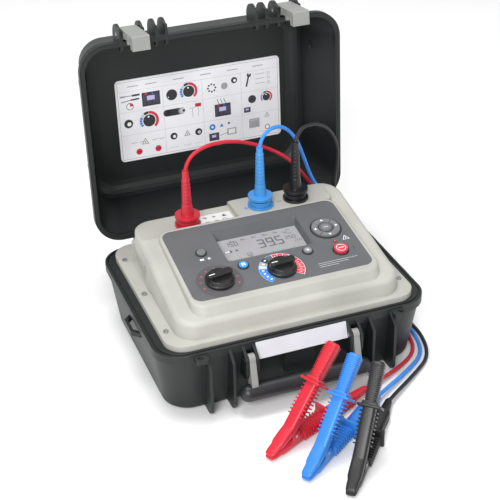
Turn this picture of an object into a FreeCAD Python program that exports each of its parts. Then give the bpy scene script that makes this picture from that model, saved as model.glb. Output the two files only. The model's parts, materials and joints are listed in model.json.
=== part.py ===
import FreeCAD, Part
import math
import os

# Insulation resistance tester in a hinged carry case, standing open, with its
# three test leads plugged in and their clips laid on the floor in front.
# Millimetres. +X right, +Y towards the hinge, +Z up. The origin is the centre
# of the case's underside.

V = FreeCAD.Vector

# ---- driving dimensions -------------------------------------------------
CASE_W = 360.0            # rim, side to side
CASE_D = 276.0            # rim, front to back
RIM_R = 37.0              # rim corner radius
BASE_H = 91.0             # floor to rim plane
LID_DEPTH = 103.0         # rim plane to lid top
WALL = 3.5
FLANGE_H = 11.0           # band round the base rim
LID_BAND_H = 9.0          # band round the lid rim
FLANGE_OUT = 3.0          # band stands out from the wall
BASE_DRAFT = 9.0          # base wall leans in, from band to floor
LID_DRAFT = 15.0          # lid wall leans in, from band to top
BASE_ROUND = 9.0          # rounded edge of the base floor
LID_ROUND = 20.0          # rounded edge of the lid top
SEAM_GAP = 1.0            # closed lid rim above base rim

HINGE_OUT = 5.3           # hinge axis behind the rim
HINGE_UP = 5.2            # hinge axis above the rim plane
HINGE_X = 105.0           # hinge pair, each side
PIN_R = 2.5
PIN_FIT = 0.05            # radial clearance of every pin in its bore
KNUCKLE_R = 5.0
KNUCKLE_W = 26.0
KNUCKLE_GAP = 0.5
LID_OPEN = 93.1           # degrees from closed to rest

RIB_T = 3.5
RIB_OUT = 15.0            # ribs stand out from the rim
RIB_LATCH_OUT = 122.0     # rib beside the latch, outboard
RIB_LATCH_IN = 92.5
RIB_ARM_OUT = 75.5        # ribs on each side of a handle arm
RIB_ARM_IN = 62.0
SHORT_RIB_FOOT = BASE_H - 47.0

LATCH_W = 23.0
LATCH_TILT = 4.0          # latches stand off the lid front at rest
LATCH_PIN_OUT = 5.0       # latch pin in front of the rim
LATCH_PIN_UP = 20.0       # latch pin above the rim plane, lid closed
LATCH_LEN = 59.0          # pin to the end of the latch
EAR_R = 18.0              # rounded ears on the lid front

HANDLE_PIN_DOWN = 18.0    # handle pin below the rim plane
HANDLE_PIN_OUT = 8.0      # handle pin in front of the rim
HANDLE_DROP = 44.0        # pin to grip axis
HANDLE_HALF = 87.0
GRIP_R = 11.0
ARM_T = 8.0

HOUSING_W = CASE_W - 30.0  # housing flange, inside the rim
HOUSING_D = CASE_D - 18.0
HOUSING_R = 26.0
HOUSING_FLANGE_H = 8.0
HOUSING_WALL = 3.0
TIER_X = HOUSING_W / 2 - 16.0     # first tier, at the flange
TIER_FRONT = 9.0 - HOUSING_D / 2
TIER_REAR = HOUSING_D / 2 - 35.0
TIER_R = 27.0
TIER_SLOPE = 10.9         # degrees, shoulder rising to the rear
TIER_Z0 = BASE_H + 51.0   # shoulder height at y = 0
TIER_ROUND = 7.0          # rounded edge of the shoulder
FRAME_ROUND = 3.5         # rounded edge of the fascia frame
FRAME_X = 124.0           # second tier, frame of the fascia
FRAME_FRONT = -103.0
FRAME_REAR = 50.0
STRIP_STEP_X = -10.0      # rear strip: right part is higher
STRIP_LOW = BASE_H + 59.0
STRIP_HIGH = STRIP_LOW + 7.0
STRIP_FRONT = 46.0
STRIP_REAR = TIER_REAR - 3.0

PANEL_TILT = 9.0          # degrees, fascia rising to the rear
PANEL_Z0 = BASE_H + 59.0  # fascia height at y = 0
FASCIA_X = 119.0
FASCIA_S0 = -96.0         # fascia, front edge in its own plane
FASCIA_S1 = 43.0
FASCIA_T = 1.6
FASCIA_R = 12.0

LCD_X0, LCD_X1 = -57.0, 61.0
LCD_S0, LCD_S1 = -38.0, 27.0
GLASS_X0, GLASS_X1 = -54.0, 57.0
GLASS_S0, GLASS_S1 = -29.0, 17.0
LCD_DEEP = 10.0
LCD_GLASS_T = 1.5

KNOB_R = 18.5
KNOB_H = 14.0
KNOB_LIFT = 0.6           # knob skirt above the fascia
SHAFT_R = 3.0
SWITCH_R = 9.0            # switch body under each knob
KNOBS = {"knob_function": (-78.0, -67.5), "knob_range": (3.5, -70.0)}
KNOB_POINTS = {"knob_function": 8.0, "knob_range": 4.0}     # degrees, bar grip from +X

KEY_TRAVEL = 1.2
KEY_R = 5.7
KEY_GAP = 0.35            # key to its ring or neighbour
RING_T = 1.3
KEYS = {"key_alarm": (-82.3, -10.3), "key_save": (-40.3, -49.6), "key_light": (47.4, -48.5)}
TEST_AT = (88.4, -59.6)
TEST_R = 9.0
LED_AT = (88.3, -41.2)
LED_R = 2.4
NAV_AT = (87.7, -13.0)
NAV_R = 19.2
NAV_MID_R = 8.5
BOARD_DROP = 20.0         # fascia to keypad board

SOCKET_R = 17.0
SOCKET_T = 3.0
SOCKET_BODY_R = 10.0
SOCKET_DEEP = 30.0
SOCKETS = {"red": (-75.0, 63.5), "blue": (27.0, 63.5), "black": (77.5, 63.5)}
PLUG_RISE = {"red": 79.0, "blue": 85.0, "black": 83.0}      # strip to the sleeve's end
PLUG_PIN_R = 4.0

WINDOW_Y0, WINDOW_Y1 = 21.0, 84.0     # recess in the housing's left wall
WINDOW_Z0, WINDOW_Z1 = BASE_H + 10.0, BASE_H + 35.0
WINDOW_DEEP = 5.0

LEAD_R = 2.5
COIL_R = 27.5             # middle of the turns
COIL_BAND = 15.0          # across the turns
COIL_H = 20.0
COIL_Y = 195.0
COIL_X = {"red": -24.0, "blue": 53.0, "black": 130.0}

CLIP_HALF_W = 8.5
CLIP_ARM_T = 13.0         # thickness of a handle
CLIP_ARM_Z = 8.5          # lower handle's middle above the floor
CLIP_ARM_U = 34.0         # jaw tip to the start of both handles
CLIP_TAIL = 150.0         # jaw tip to the end of the lower handle
CLIP_HANDLE = 54.0        # guard to the end of a handle
CLIP_GUARD_W = 14.5
CLIP_TILT = 47.0          # upper handle's rise, jaws closed
CLIP_UPPER_Z = CLIP_ARM_Z + CLIP_ARM_T + 1.5     # upper handle's start above the floor
CLIP_UPPER_L = 117.5      # upper handle's length
CLIP_TIP_Z = CLIP_ARM_Z + CLIP_ARM_T / 2 - 9.0  # where the jaws meet at the tip
CLIP_NOSE_RISE = 15.0     # rise of the plane where the jaws meet
CLIP_PIVOT_U = 40.0       # jaw tip to pivot
CLIP_PIVOT_Z = 17.0
CLIP_PIN_R = 1.8
CLIP_LUG_T = 2.5
CLIP_SLEEVE_L = 26.0
FIN_PITCH = 5.2
GROOVE_PITCH = 3.0
CLIP_AT = {
    "red": (-88.0, -248.0, 24.4),
    "blue": (-62.8, -297.7, 35.8),
    "black": (-26.8, -341.1, 49.3),
}

# ---- routes of the leads, from plug to coil and from coil to clip ---------
PLUG_ROUTE = {
    "red": [
        (-75, 63.5, 229), (-72, 64, 241), (-58, 67, 252), (-33, 72, 256), (3, 82, 248), (42, 94, 228),
        (82, 106, 199), (110, 115, 164), (132, 122, 130), (160, 126, 110), (187, 127, 90),
        (199, 131, 58), (209, 145, 27), (215, 173, 6), (210, 208, 2.6), (184, 236, 2.6),
        (140, 247, 2.6), (84, 249, 2.6), (28, 245, 2.6), (-2, 234, 2.6), (-24, 227.5, 2.6)],
    "blue": [
        (27, 63.5, 242), (30, 65, 253), (43, 70, 262), (60, 77, 261), (78, 88, 247), (95, 98, 223),
        (108, 106, 191), (122, 112, 154), (142, 117, 124), (166, 119, 107), (188, 119, 87),
        (200, 123, 54), (207, 138, 24), (208, 168, 5), (201, 204, 2.6), (174, 229, 2.6),
        (128, 239, 2.6), (84, 236, 2.6), (53, 227.5, 2.6)],
    "black": [
        (77.5, 63.5, 240), (80, 65, 249), (93, 73, 256), (115, 83, 252), (138, 94, 236),
        (155, 101, 208), (158, 105, 176), (153, 108, 137), (165, 111, 109), (186, 112, 87),
        (197, 115, 53), (201, 131, 23), (201, 162, 5), (190, 198, 2.6), (162, 222, 2.6),
        (130, 227.5, 2.6)],
}
CLIP_ROUTE = {
    "red": [
        (-24, 162.5, 17.4), (4, 156, 12), (42, 146, 4), (92, 141, 2.6), (142, 143, 2.6),
        (175, 126, 2.6), (183, 84, 2.6), (182, 30, 2.6), (179, -26, 2.6), (181, -74, 2.6),
        (170, -121, 3), (133, -149, 5)],
    "blue": [
        (53, 162.5, 17.4), (84, 158, 10), (122, 150, 3), (160, 147, 2.6), (185, 120, 2.6),
        (189, 74, 2.6), (189, 16, 2.6), (186, -40, 2.6), (188, -84, 2.6), (175, -131, 3),
        (140, -158, 5)],
    "black": [
        (130, 162.5, 17.4), (154, 160, 10), (180, 147, 3), (194, 112, 2.6), (195, 64, 2.6),
        (196, 8, 2.6), (193, -46, 2.6), (195, -92, 2.6), (180, -139, 3), (146, -167, 5)],
}

EPS = 0.02
HINGE_Y = CASE_D / 2 + HINGE_OUT
HINGE_Z = BASE_H + HINGE_UP
HANDLE_PIN_Z = BASE_H - HANDLE_PIN_DOWN
BOARD_Z = BASE_H - 19.0   # main board's underside
LID_Z = BASE_H + SEAM_GAP


def save(name, shape):
    """Write one node after checking that it is a closed, valid solid."""
    if not shape.isValid() or shape.Volume <= 0:
        raise ValueError("bad solid: " + name)
    shape.exportStep("parts/" + name + ".step")
    print("%-22s solids %d  volume %.0f" % (name, len(shape.Solids), shape.Volume))


def outline(x0, x1, y0, y1, r, z):
    """Closed wire of a rectangle with rounded corners, at height z."""
    k = r * (1 - math.sqrt(0.5))
    edges = [
        Part.LineSegment(V(x0 + r, y0, z), V(x1 - r, y0, z)),
        Part.Arc(V(x1 - r, y0, z), V(x1 - k, y0 + k, z), V(x1, y0 + r, z)),
        Part.LineSegment(V(x1, y0 + r, z), V(x1, y1 - r, z)),
        Part.Arc(V(x1, y1 - r, z), V(x1 - k, y1 - k, z), V(x1 - r, y1, z)),
        Part.LineSegment(V(x1 - r, y1, z), V(x0 + r, y1, z)),
        Part.Arc(V(x0 + r, y1, z), V(x0 + k, y1 - k, z), V(x0, y1 - r, z)),
        Part.LineSegment(V(x0, y1 - r, z), V(x0, y0 + r, z)),
        Part.Arc(V(x0, y0 + r, z), V(x0 + k, y0 + k, z), V(x0 + r, y0, z)),
    ]
    return Part.Wire([edge.toShape() for edge in edges])


def slab(x0, x1, y0, y1, r, z0, z1):
    """Plate with rounded corners between two heights."""
    return Part.Face(outline(x0, x1, y0, y1, r, z0)).extrude(V(0, 0, z1 - z0))


def skin(sections):
    """Solid through outlines given as (half width, half depth, radius, z)."""
    wires = [outline(-w, w, -d, d, r, z) for w, d, r, z in sections]
    return Part.makeLoft(wires, True, True)


def fuse(shapes):
    return shapes[0].multiFuse(shapes[1:]).removeSplitter() if len(shapes) > 1 else shapes[0]


def box(x0, x1, y0, y1, z0, z1):
    return Part.makeBox(x1 - x0, y1 - y0, z1 - z0, V(x0, y0, z0))


def rod(r, start, end):
    axis = V(*end) - V(*start)
    return Part.makeCylinder(r, axis.Length, V(*start), axis)


def plate_yz(points, x, thick):
    """Plate of the given (y, z) outline, centred on x."""
    loop = [V(x - thick / 2, y, z) for y, z in points]
    return Part.Face(Part.makePolygon(loop + loop[:1])).extrude(V(thick, 0, 0))


def both_sides(shape):
    """The shape and its mirror across the middle plane."""
    return [shape, shape.mirror(V(0, 0, 0), V(1, 0, 0))]


def rounded_end(half_w, half_d, r, z_edge, direction, edge):
    """Sections of a quarter-round edge of the given radius, ending at z_edge."""
    sections = []
    for step in range(6):
        turn = math.radians(90 * step / 5)
        inset = edge * (1 - math.cos(turn))
        z = z_edge + direction * edge * (math.sin(turn) - 1)
        sections.append((half_w - inset, half_d - inset, r - 0.7 * inset, z))
    return sections


# ---- placing: fascia plane, lid, clips ------------------------------------
def to_panel(shape):
    """From fascia coordinates (x, s, n) to the case."""
    placed = shape.copy()
    placed.rotate(V(0, 0, 0), V(1, 0, 0), PANEL_TILT)
    placed.translate(V(0, 0, PANEL_Z0))
    return placed


def to_open(shape):
    """From the closed lid's place to its rest, standing open."""
    placed = shape.copy()
    placed.rotate(V(0, HINGE_Y, HINGE_Z), V(1, 0, 0), -LID_OPEN)
    return placed


def to_clip(shape, colour):
    """From clip coordinates (u from the jaw tip, w, z) to the floor in front."""
    x, y, turn = CLIP_AT[colour]
    placed = shape.copy()
    placed.rotate(V(0, 0, 0), V(0, 0, 1), turn)
    placed.translate(V(x, y, 0))
    return placed


# ---- case base ---------------------------------------------------------
def base_sections(inset):
    half_w = CASE_W / 2 - FLANGE_OUT
    half_d = CASE_D / 2 - FLANGE_OUT
    low = rounded_end(half_w - BASE_DRAFT, half_d - BASE_DRAFT, RIM_R - 3, 0, -1, BASE_ROUND)
    low.reverse()
    band = BASE_H - FLANGE_H
    sections = low + [(half_w, half_d, RIM_R - 1, band)]
    return [(w - inset, d - inset, max(r - inset, 2), z) for w, d, r, z in sections]


def front_rib(x, foot):
    front = -CASE_D / 2
    out = front - RIB_OUT
    top = BASE_H - 3
    points = [(front + 12, top), (front + 1, top), (out, top - 13), (out, foot + 9), (out + 3, foot + 3),
              (out + 9, foot), (front + 12, foot)]
    return plate_yz(points, x, RIB_T)


def base_shell():
    half_w, half_d = CASE_W / 2, CASE_D / 2
    band_z = BASE_H - FLANGE_H
    outer = fuse([skin(base_sections(0)),
                  slab(-half_w, half_w, -half_d, half_d, RIM_R, band_z, BASE_H)])
    hollow = skin([(w, d, r, z + WALL) for w, d, r, z in base_sections(WALL)])
    mouth_w = HOUSING_W / 2 - 8
    mouth_d = HOUSING_D / 2 - 8
    mouth = slab(-mouth_w, mouth_w, -mouth_d, mouth_d, 20, band_z, BASE_H + 1)
    groove = slab(3 - half_w, half_w - 3, 3 - half_d, half_d - 3, RIM_R - 3, BASE_H - 2, BASE_H + 1)
    island = slab(6 - half_w, half_w - 6, 6 - half_d, half_d - 6, RIM_R - 6, BASE_H - 3, BASE_H + 2)
    shell = outer.cut(hollow).cut(mouth).cut(groove.cut(island))
    extras = []
    for x in (RIB_LATCH_OUT, RIB_LATCH_IN):
        extras += both_sides(front_rib(x, 5.0))
    for x in (RIB_ARM_OUT, RIB_ARM_IN):
        extras += both_sides(front_rib(x, SHORT_RIB_FOOT))
    tab_x = RIB_LATCH_OUT + 10
    tab = slab(RIB_LATCH_OUT, tab_x + 6, -half_d - 12, -half_d + 6, 2.5,
               BASE_H - 8, BASE_H - 2)
    extras += both_sides(tab)
    pad = box(-20, 20, -half_d + 2, -half_d + 12, 31, 61)
    extras.append(pad)
    for side in (-1, 1):
        for offset in (-1, 1):
            centre = side * HINGE_X + offset * (KNUCKLE_W / 2 + KNUCKLE_GAP + 5)
            extras.append(base_knuckle(centre, 10.0))
    keep_out = skin([(w - 1, d - 1, r, z + 2) for w, d, r, z in base_sections(WALL)])
    shell = fuse([shell] + [extra.cut(keep_out) for extra in extras])
    holes = [rod(3.2, (x, -half_d - 6, BASE_H - 20), (x, -half_d - 6, BASE_H + 4)) for x in (-tab_x, tab_x)]
    holes += hinge_bores(PIN_R - EPS)
    holes += handle_bores(PIN_R - EPS)
    return shell.cut(Part.makeCompound(holes))


def base_knuckle(x, width):
    barrel = rod(KNUCKLE_R, (x - width / 2, HINGE_Y, HINGE_Z), (x + width / 2, HINGE_Y, HINGE_Z))
    rear = CASE_D / 2
    points = [(rear - 3, BASE_H - 9), (rear - 3, BASE_H - 1), (rear, BASE_H - 1),
              (HINGE_Y - 2, HINGE_Z), (HINGE_Y + KNUCKLE_R, HINGE_Z), (HINGE_Y + 3, BASE_H - 9)]
    return fuse([barrel, plate_yz(points, x, width)])


def hinge_bores(r):
    return [rod(r, (side * HINGE_X - KNUCKLE_W, HINGE_Y, HINGE_Z),
                (side * HINGE_X + KNUCKLE_W, HINGE_Y, HINGE_Z)) for side in (-1, 1)]


def hinge_pins():
    length = KNUCKLE_W / 2 + KNUCKLE_GAP + 10
    return Part.makeCompound([
        rod(PIN_R - EPS, (side * HINGE_X - length, HINGE_Y, HINGE_Z),
            (side * HINGE_X + length, HINGE_Y, HINGE_Z)) for side in (-1, 1)])


def handle_pin_axis():
    return -CASE_D / 2 - HANDLE_PIN_OUT, HANDLE_PIN_Z


def handle_bores(r):
    y, z = handle_pin_axis()
    reach = RIB_ARM_OUT + RIB_T / 2
    start = RIB_ARM_IN - RIB_T / 2
    return [rod(r, (side * start, y, z), (side * reach, y, z)) for side in (-1, 1)]


def strap_loop():
    """Bar that stands off the side wall under the rim band."""
    wall = CASE_W / 2 - FLANGE_OUT - 1.5
    points = [(-wall + 2, -47), (-wall - 3, -47), (-wall - 12, -38), (-wall - 12, -9), (-wall - 3, 0),
              (-wall + 2, 0), (-wall + 2, -5), (-wall - 1, -5), (-wall - 8, -12), (-wall - 8, -35),
              (-wall - 1, -42), (-wall + 2, -42)]
    loop = [V(x, y, BASE_H - 22) for x, y in points]
    bar = Part.Face(Part.makePolygon(loop + loop[:1])).extrude(V(0, 0, 6))
    return bar.cut(skin(base_sections(-0.01)))


def front_label():
    """White name strip, lying on the sloped front between the inner ribs."""
    half = RIB_ARM_IN - RIB_T / 2 - 0.5
    front = -CASE_D / 2
    top, foot = BASE_H - 2, BASE_H - 23
    points = [(front + 2, top), (front - 0.5, top), (front - 8, foot + 1), (front - 7, foot),
              (front + 6, foot)]
    return plate_yz(points, 0, 2 * half).cut(skin(base_sections(-0.01))).cut(
        slab(-CASE_W / 2, CASE_W / 2, front - 0.01, -front, RIM_R, BASE_H - FLANGE_H - 0.01, BASE_H))


# ---- lid, modelled closed and then turned open ------------------------------
def lid_shell():
    half_w, half_d = CASE_W / 2, CASE_D / 2
    band_z = LID_Z + LID_BAND_H
    top = LID_Z + LID_DEPTH
    wall_w, wall_d = half_w - FLANGE_OUT, half_d - FLANGE_OUT

    def sections(inset, top_z):
        ends = rounded_end(wall_w - LID_DRAFT, wall_d - LID_DRAFT, RIM_R - 3, top_z, 1, LID_ROUND)
        rows = [(wall_w, wall_d, RIM_R - 1, band_z)] + ends
        return [(w - inset, d - inset, max(r - inset, 2), z) for w, d, r, z in rows]

    outer = fuse([skin(sections(0, top)),
                  slab(-half_w, half_w, -half_d, half_d, RIM_R, LID_Z, band_z)])
    hollow = skin(sections(WALL, top - WALL))
    mouth_w, mouth_d = wall_w - WALL, wall_d - WALL
    mouth = slab(-mouth_w, mouth_w, -mouth_d, mouth_d, RIM_R - WALL - 1.5, LID_Z - 1, band_z + EPS)
    shell = outer.cut(hollow).cut(mouth)
    extras = []
    for x in (RIB_LATCH_OUT, RIB_LATCH_IN, RIB_ARM_OUT, RIB_ARM_IN):
        extras += both_sides(lid_ear(x))
    for side in (-1, 1):
        extras.append(lid_knuckle(side * HINGE_X))
    keep_out = skin([(w + 0.5, d + 0.5, r, z) for w, d, r, z in sections(WALL, top - WALL)])
    shell = fuse([shell] + [extra.cut(keep_out) for extra in extras])
    y, z = latch_pin_axis()
    bores = [rod(PIN_R - EPS, (side * (RIB_LATCH_IN - 3), y, z), (side * (RIB_LATCH_OUT + 3), y, z))
             for side in (-1, 1)]
    bores += hinge_bores(PIN_R - EPS + PIN_FIT)
    groove = slab(1.5 - half_w, half_w - 1.5, 1.5 - half_d, half_d - 1.5, RIM_R - 1.5,
                  LID_Z - 1, LID_Z + 1.2)
    island = slab(4.5 - half_w, half_w - 4.5, 4.5 - half_d, half_d - 4.5, RIM_R - 4.5,
                  LID_Z - 2, LID_Z + 2)
    return to_open(shell.cut(Part.makeCompound(bores)).cut(groove.cut(island)))


def lid_ear(x):
    """Rounded lobe with a flat edge towards the base."""
    front = -CASE_D / 2
    low = LID_Z + 1
    lobe = rod(EAR_R, (x - RIB_T / 2, front, low + EAR_R), (x + RIB_T / 2, front, low + EAR_R))
    foot = box(x - RIB_T / 2, x + RIB_T / 2, front - 14, front + 12, low, low + EAR_R)
    return fuse([lobe, foot])


def lid_knuckle(x):
    """Lid half of the hinge; it clears the base between the two barrels."""
    barrel = rod(KNUCKLE_R, (x - KNUCKLE_W / 2, HINGE_Y, HINGE_Z), (x + KNUCKLE_W / 2, HINGE_Y, HINGE_Z))
    rear = CASE_D / 2
    points = [(rear - 3, LID_Z + 1), (HINGE_Y, HINGE_Z - 4), (HINGE_Y + KNUCKLE_R, HINGE_Z),
              (HINGE_Y + 2, LID_Z + 18), (rear - 3, LID_Z + 20)]
    return fuse([barrel, plate_yz(points, x, KNUCKLE_W)])


def lid_seal():
    half_w, half_d = CASE_W / 2 - 1.6, CASE_D / 2 - 1.6
    outer = slab(-half_w, half_w, -half_d, half_d, RIM_R - 1.6, LID_Z - 0.4, LID_Z + 1.19)
    inner = slab(2.8 - half_w, half_w - 2.8, 2.8 - half_d, half_d - 2.8, RIM_R - 4.4,
                 LID_Z - 2, LID_Z + 2)
    return to_open(outer.cut(inner))


def lid_card():
    """Instruction card on the inside of the lid."""
    top = LID_Z + LID_DEPTH - WALL
    return to_open(slab(-113, 129, -51, 69, 6, top - 2.0, top - EPS))


def latch_pin_axis():
    return -CASE_D / 2 - LATCH_PIN_OUT, BASE_H + LATCH_PIN_UP


def latch_pins():
    y, z = latch_pin_axis()
    start, end = RIB_LATCH_IN - RIB_T / 2, RIB_LATCH_OUT + RIB_T / 2
    pins = [rod(PIN_R - EPS, (side * start, y, z), (side * end, y, z)) for side in (-1, 1)]
    return to_open(Part.makeCompound(pins))


def latch(side):
    """Pull-down latch: plate, hook and side core pockets."""
    x = side * (RIB_LATCH_IN + RIB_LATCH_OUT) / 2
    y, z = latch_pin_axis()
    end = z - LATCH_LEN
    catch = BASE_H - FLANGE_H - 1.5
    points = [(y + 4.5, z + 4), (y + 1, z + 6.5), (y - 5, z + 6.5), (y - 8, z + 3), (y - 8, end + 1),
              (y - 7, end), (y + 10.4, end), (y + 10.4, end + 10), (y - 1, end + 12), (y - 1, catch - 6),
              (y + 6.5, catch - 5), (y + 6.5, catch), (y + 1.5, catch + 1), (y + 3.5, z - 6)]
    body = plate_yz(points, x, LATCH_W)
    pockets = []
    for face in (-1, 1):
        inner = x + face * (LATCH_W / 2 - 4)
        outer = x + face * (LATCH_W / 2 + 1)
        low_x, high_x = min(inner, outer), max(inner, outer)
        for row in range(3):
            low = z - 18 - 8 * row
            pockets.append(box(low_x, high_x, y - 6, y - 2.5, low, low + 5))
        pockets.append(box(low_x, high_x, y - 2, y + 8.5, end + 1.8, end + 8))
    bore = rod(PIN_R - EPS + PIN_FIT, (x - LATCH_W, y, z), (x + LATCH_W, y, z))
    body = body.cut(Part.makeCompound(pockets)).cut(bore)
    body.rotate(V(x, y, z), V(1, 0, 0), -LATCH_TILT)
    return to_open(body)


def lid_screws():
    """Screw heads on both side walls of the lid."""
    heads = []
    half = CASE_W / 2 - FLANGE_OUT
    for y, z in ((-70.0, LID_Z + 62), (50.0, LID_Z + 62)):
        share = (z - LID_Z - LID_BAND_H) / (LID_DEPTH - LID_BAND_H - LID_ROUND)
        outside = half - LID_DRAFT * share
        heads += both_sides(rod(4.5, (outside - WALL - 2.6, y, z), (outside - WALL - 0.3, y, z)))
        heads += both_sides(rod(5.0, (outside + 0.3, y, z), (outside + 2.2, y, z)))
        heads += both_sides(rod(2.0, (outside - WALL - 1, y, z), (outside + 1, y, z)))
    screws = [fuse([heads[i], heads[i + 2], heads[i + 4]]) for i in (0, 1, 6, 7)]
    return to_open(Part.makeCompound(screws))


# ---- handle -----------------------------------------------------------------
def handle_grip():
    y, z = handle_pin_axis()
    z -= HANDLE_DROP
    start, end = GRIP_R - HANDLE_HALF, HANDLE_HALF - GRIP_R
    grip = fuse([rod(GRIP_R, (start, y - 9, z), (end, y - 9, z)),
                 Part.makeSphere(GRIP_R, V(start, y - 9, z)), Part.makeSphere(GRIP_R, V(end, y - 9, z))])
    return grip.cut(handle_arms())


def handle_arms():
    y, z = handle_pin_axis()
    x = (RIB_ARM_OUT + RIB_ARM_IN) / 2
    eye = rod(6.5, (x - ARM_T / 2, y, z), (x + ARM_T / 2, y, z))
    points = [(y - 6, z), (y + 4, z), (y + 3, z - 28), (y - 2, z - HANDLE_DROP - 4),
              (y - 14, z - HANDLE_DROP - 4), (y - 14, z - 30)]
    arm = fuse([eye, plate_yz(points, x, ARM_T)])
    bore = rod(PIN_R - EPS + PIN_FIT, (x - ARM_T, y, z), (x + ARM_T, y, z))
    return Part.makeCompound(both_sides(arm.cut(bore)))


def handle_pins():
    return Part.makeCompound(handle_bores(PIN_R - EPS))


# ---- housing ------------------------------------------------------------------
def below(shape, slope, z0, drop):
    """Keep what lies under a plane that rises to the rear."""
    cutter = Part.makeBox(600, 600, 200, V(-300, -300, 0))
    cutter.rotate(V(0, 0, 0), V(1, 0, 0), slope)
    cutter.translate(V(0, 0, z0 - drop))
    return shape.cut(cutter)


def round_top(shape, height, radius):
    """Round the edges of the shape's highest flat face; height is above its lowest edge."""
    tops = [face for face in shape.Faces if face.normalAt(0, 0).z > 0.9 and face.BoundBox.ZMin > height]
    return shape.makeFillet(radius, tops[0].Edges)


def housing_form(inset):
    """Stepped outer form of the instrument housing, inset all round."""
    t = inset
    floor = BASE_H + HOUSING_FLANGE_H - (6 if t else 0)
    tier = Part.makeLoft([
        outline(t - TIER_X, TIER_X - t, TIER_FRONT + t, TIER_REAR - t, TIER_R - t, floor),
        outline(t - TIER_X + 6, TIER_X - 6 - t, TIER_FRONT + 8 + t, TIER_REAR - 2 - t, TIER_R - t,
                BASE_H + 94),
    ], True, True)
    tier = below(tier, TIER_SLOPE, TIER_Z0, t)
    if not t:
        tier = round_top(tier, floor, TIER_ROUND)
    frame = Part.makeLoft([
        outline(t - FRAME_X - 3, FRAME_X + 3 - t, FRAME_FRONT - 18 + t, FRAME_REAR - t, 18 - t, floor),
        outline(t - FRAME_X + 2, FRAME_X - 2 - t, FRAME_FRONT + 16 + t, FRAME_REAR - t, 18 - t,
                BASE_H + 81),
    ], True, True)
    frame = below(frame, PANEL_TILT, PANEL_Z0, t)
    if not t:
        frame = round_top(frame, floor, FRAME_ROUND)
    form = fuse([tier, frame])
    reach = TIER_X + 20
    for start, top in ((-reach, STRIP_LOW), (STRIP_STEP_X, STRIP_HIGH)):
        end = STRIP_STEP_X if start < STRIP_STEP_X else reach
        form = form.cut(box(start, end + t, STRIP_FRONT - t, TIER_REAR + 5, top - t, top + 60))
    rise = slab(STRIP_STEP_X + t, FRAME_X - t, STRIP_FRONT, STRIP_REAR - t, 6 - t / 2,
                STRIP_LOW - 20, STRIP_HIGH - t)
    return fuse([form, rise])


def panel_housing():
    half_w, half_d = HOUSING_W / 2, HOUSING_D / 2
    flange = slab(-half_w, half_w, -half_d, half_d, HOUSING_R, BASE_H + EPS, BASE_H + HOUSING_FLANGE_H)
    outer = fuse([flange, housing_form(0)])
    shell = outer.cut(housing_form(HOUSING_WALL))
    seat = slab(-FASCIA_X - 0.3, FASCIA_X + 0.3, FASCIA_S0 - 0.3, FASCIA_S1 + 0.3, FASCIA_R,
                -FASCIA_T, 30)
    opening = slab(3 - FASCIA_X, FASCIA_X - 3, FASCIA_S0 + 3, FASCIA_S1 - 3, FASCIA_R - 3, -25, 30)
    cuts = [to_panel(seat), to_panel(opening)]
    for colour, (x, y) in SOCKETS.items():
        cuts.append(rod(SOCKET_BODY_R + 0.1, (x, y, STRIP_LOW - SOCKET_DEEP), (x, y, STRIP_HIGH + 30)))
    recess = box(-TIER_X - 5, -TIER_X + 6 + WINDOW_DEEP - 4, WINDOW_Y0, WINDOW_Y1, WINDOW_Z0, WINDOW_Z1)
    slot = box(-TIER_X - 5, -TIER_X + 20, WINDOW_Y0 + 2, WINDOW_Y0 + 28, WINDOW_Z0 + 2, WINDOW_Z1 - 8)
    backing = box(-TIER_X + 3, -TIER_X + 12, WINDOW_Y0 - 3, WINDOW_Y1 + 3, WINDOW_Z0 - 3, WINDOW_Z1 + 3)
    shell = fuse([shell, backing]).cut(Part.makeCompound(cuts)).cut(recess).cut(slot)
    return shell


def fascia():
    plate = slab(-FASCIA_X, FASCIA_X, FASCIA_S0, FASCIA_S1, FASCIA_R - 0.3, EPS - FASCIA_T, 0)
    cuts = [box(LCD_X0, LCD_X1, LCD_S0, LCD_S1, -5, 5)]
    for x, s in KNOBS.values():
        cuts.append(rod(5.0, (x, s, -5), (x, s, 5)))
    for x, s in KEYS.values():
        cuts.append(rod(KEY_R + KEY_GAP, (x, s, -5), (x, s, 5)))
    cuts.append(rod(TEST_R + KEY_GAP, (*TEST_AT, -5), (*TEST_AT, 5)))
    cuts.append(rod(NAV_R + KEY_GAP, (*NAV_AT, -5), (*NAV_AT, 5)))
    cuts.append(rod(LED_R + 0.1, (*LED_AT, -5), (*LED_AT, 5)))
    return to_panel(plate.cut(Part.makeCompound(cuts)))


def key_rings():
    """Dark collars round the keys, standing on the fascia."""
    rings = []
    holes = [(x, s, KEY_R) for x, s in KEYS.values()] + [(*TEST_AT, TEST_R), (*NAV_AT, NAV_R)]
    for x, s, r in holes:
        inner = r + KEY_GAP
        rings.append(rod(inner + RING_T, (x, s, 0), (x, s, 1.2)).cut(rod(inner, (x, s, -1), (x, s, 3))))
    return to_panel(Part.makeCompound(rings))


def lcd_bezel():
    """Sloped funnel between the fascia opening and the sunk display."""
    def ring(x0, x1, s0, s1, n):
        return outline(x0, x1, s0, s1, 1.0, n)
    wall = 1.5
    fit = 0.04
    outer = Part.makeLoft([
        ring(GLASS_X0 - wall, GLASS_X1 + wall, GLASS_S0 - wall, GLASS_S1 + wall, -LCD_DEEP),
        ring(LCD_X0 + fit, LCD_X1 - fit, LCD_S0 + fit, LCD_S1 - fit, -0.2)], True, True)
    inner = Part.makeLoft([
        ring(GLASS_X0, GLASS_X1, GLASS_S0, GLASS_S1, -LCD_DEEP),
        ring(LCD_X0 + wall, LCD_X1 - wall, LCD_S0 + wall, LCD_S1 - wall, -0.2)], True, True)
    return to_panel(outer.cut(inner))


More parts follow.
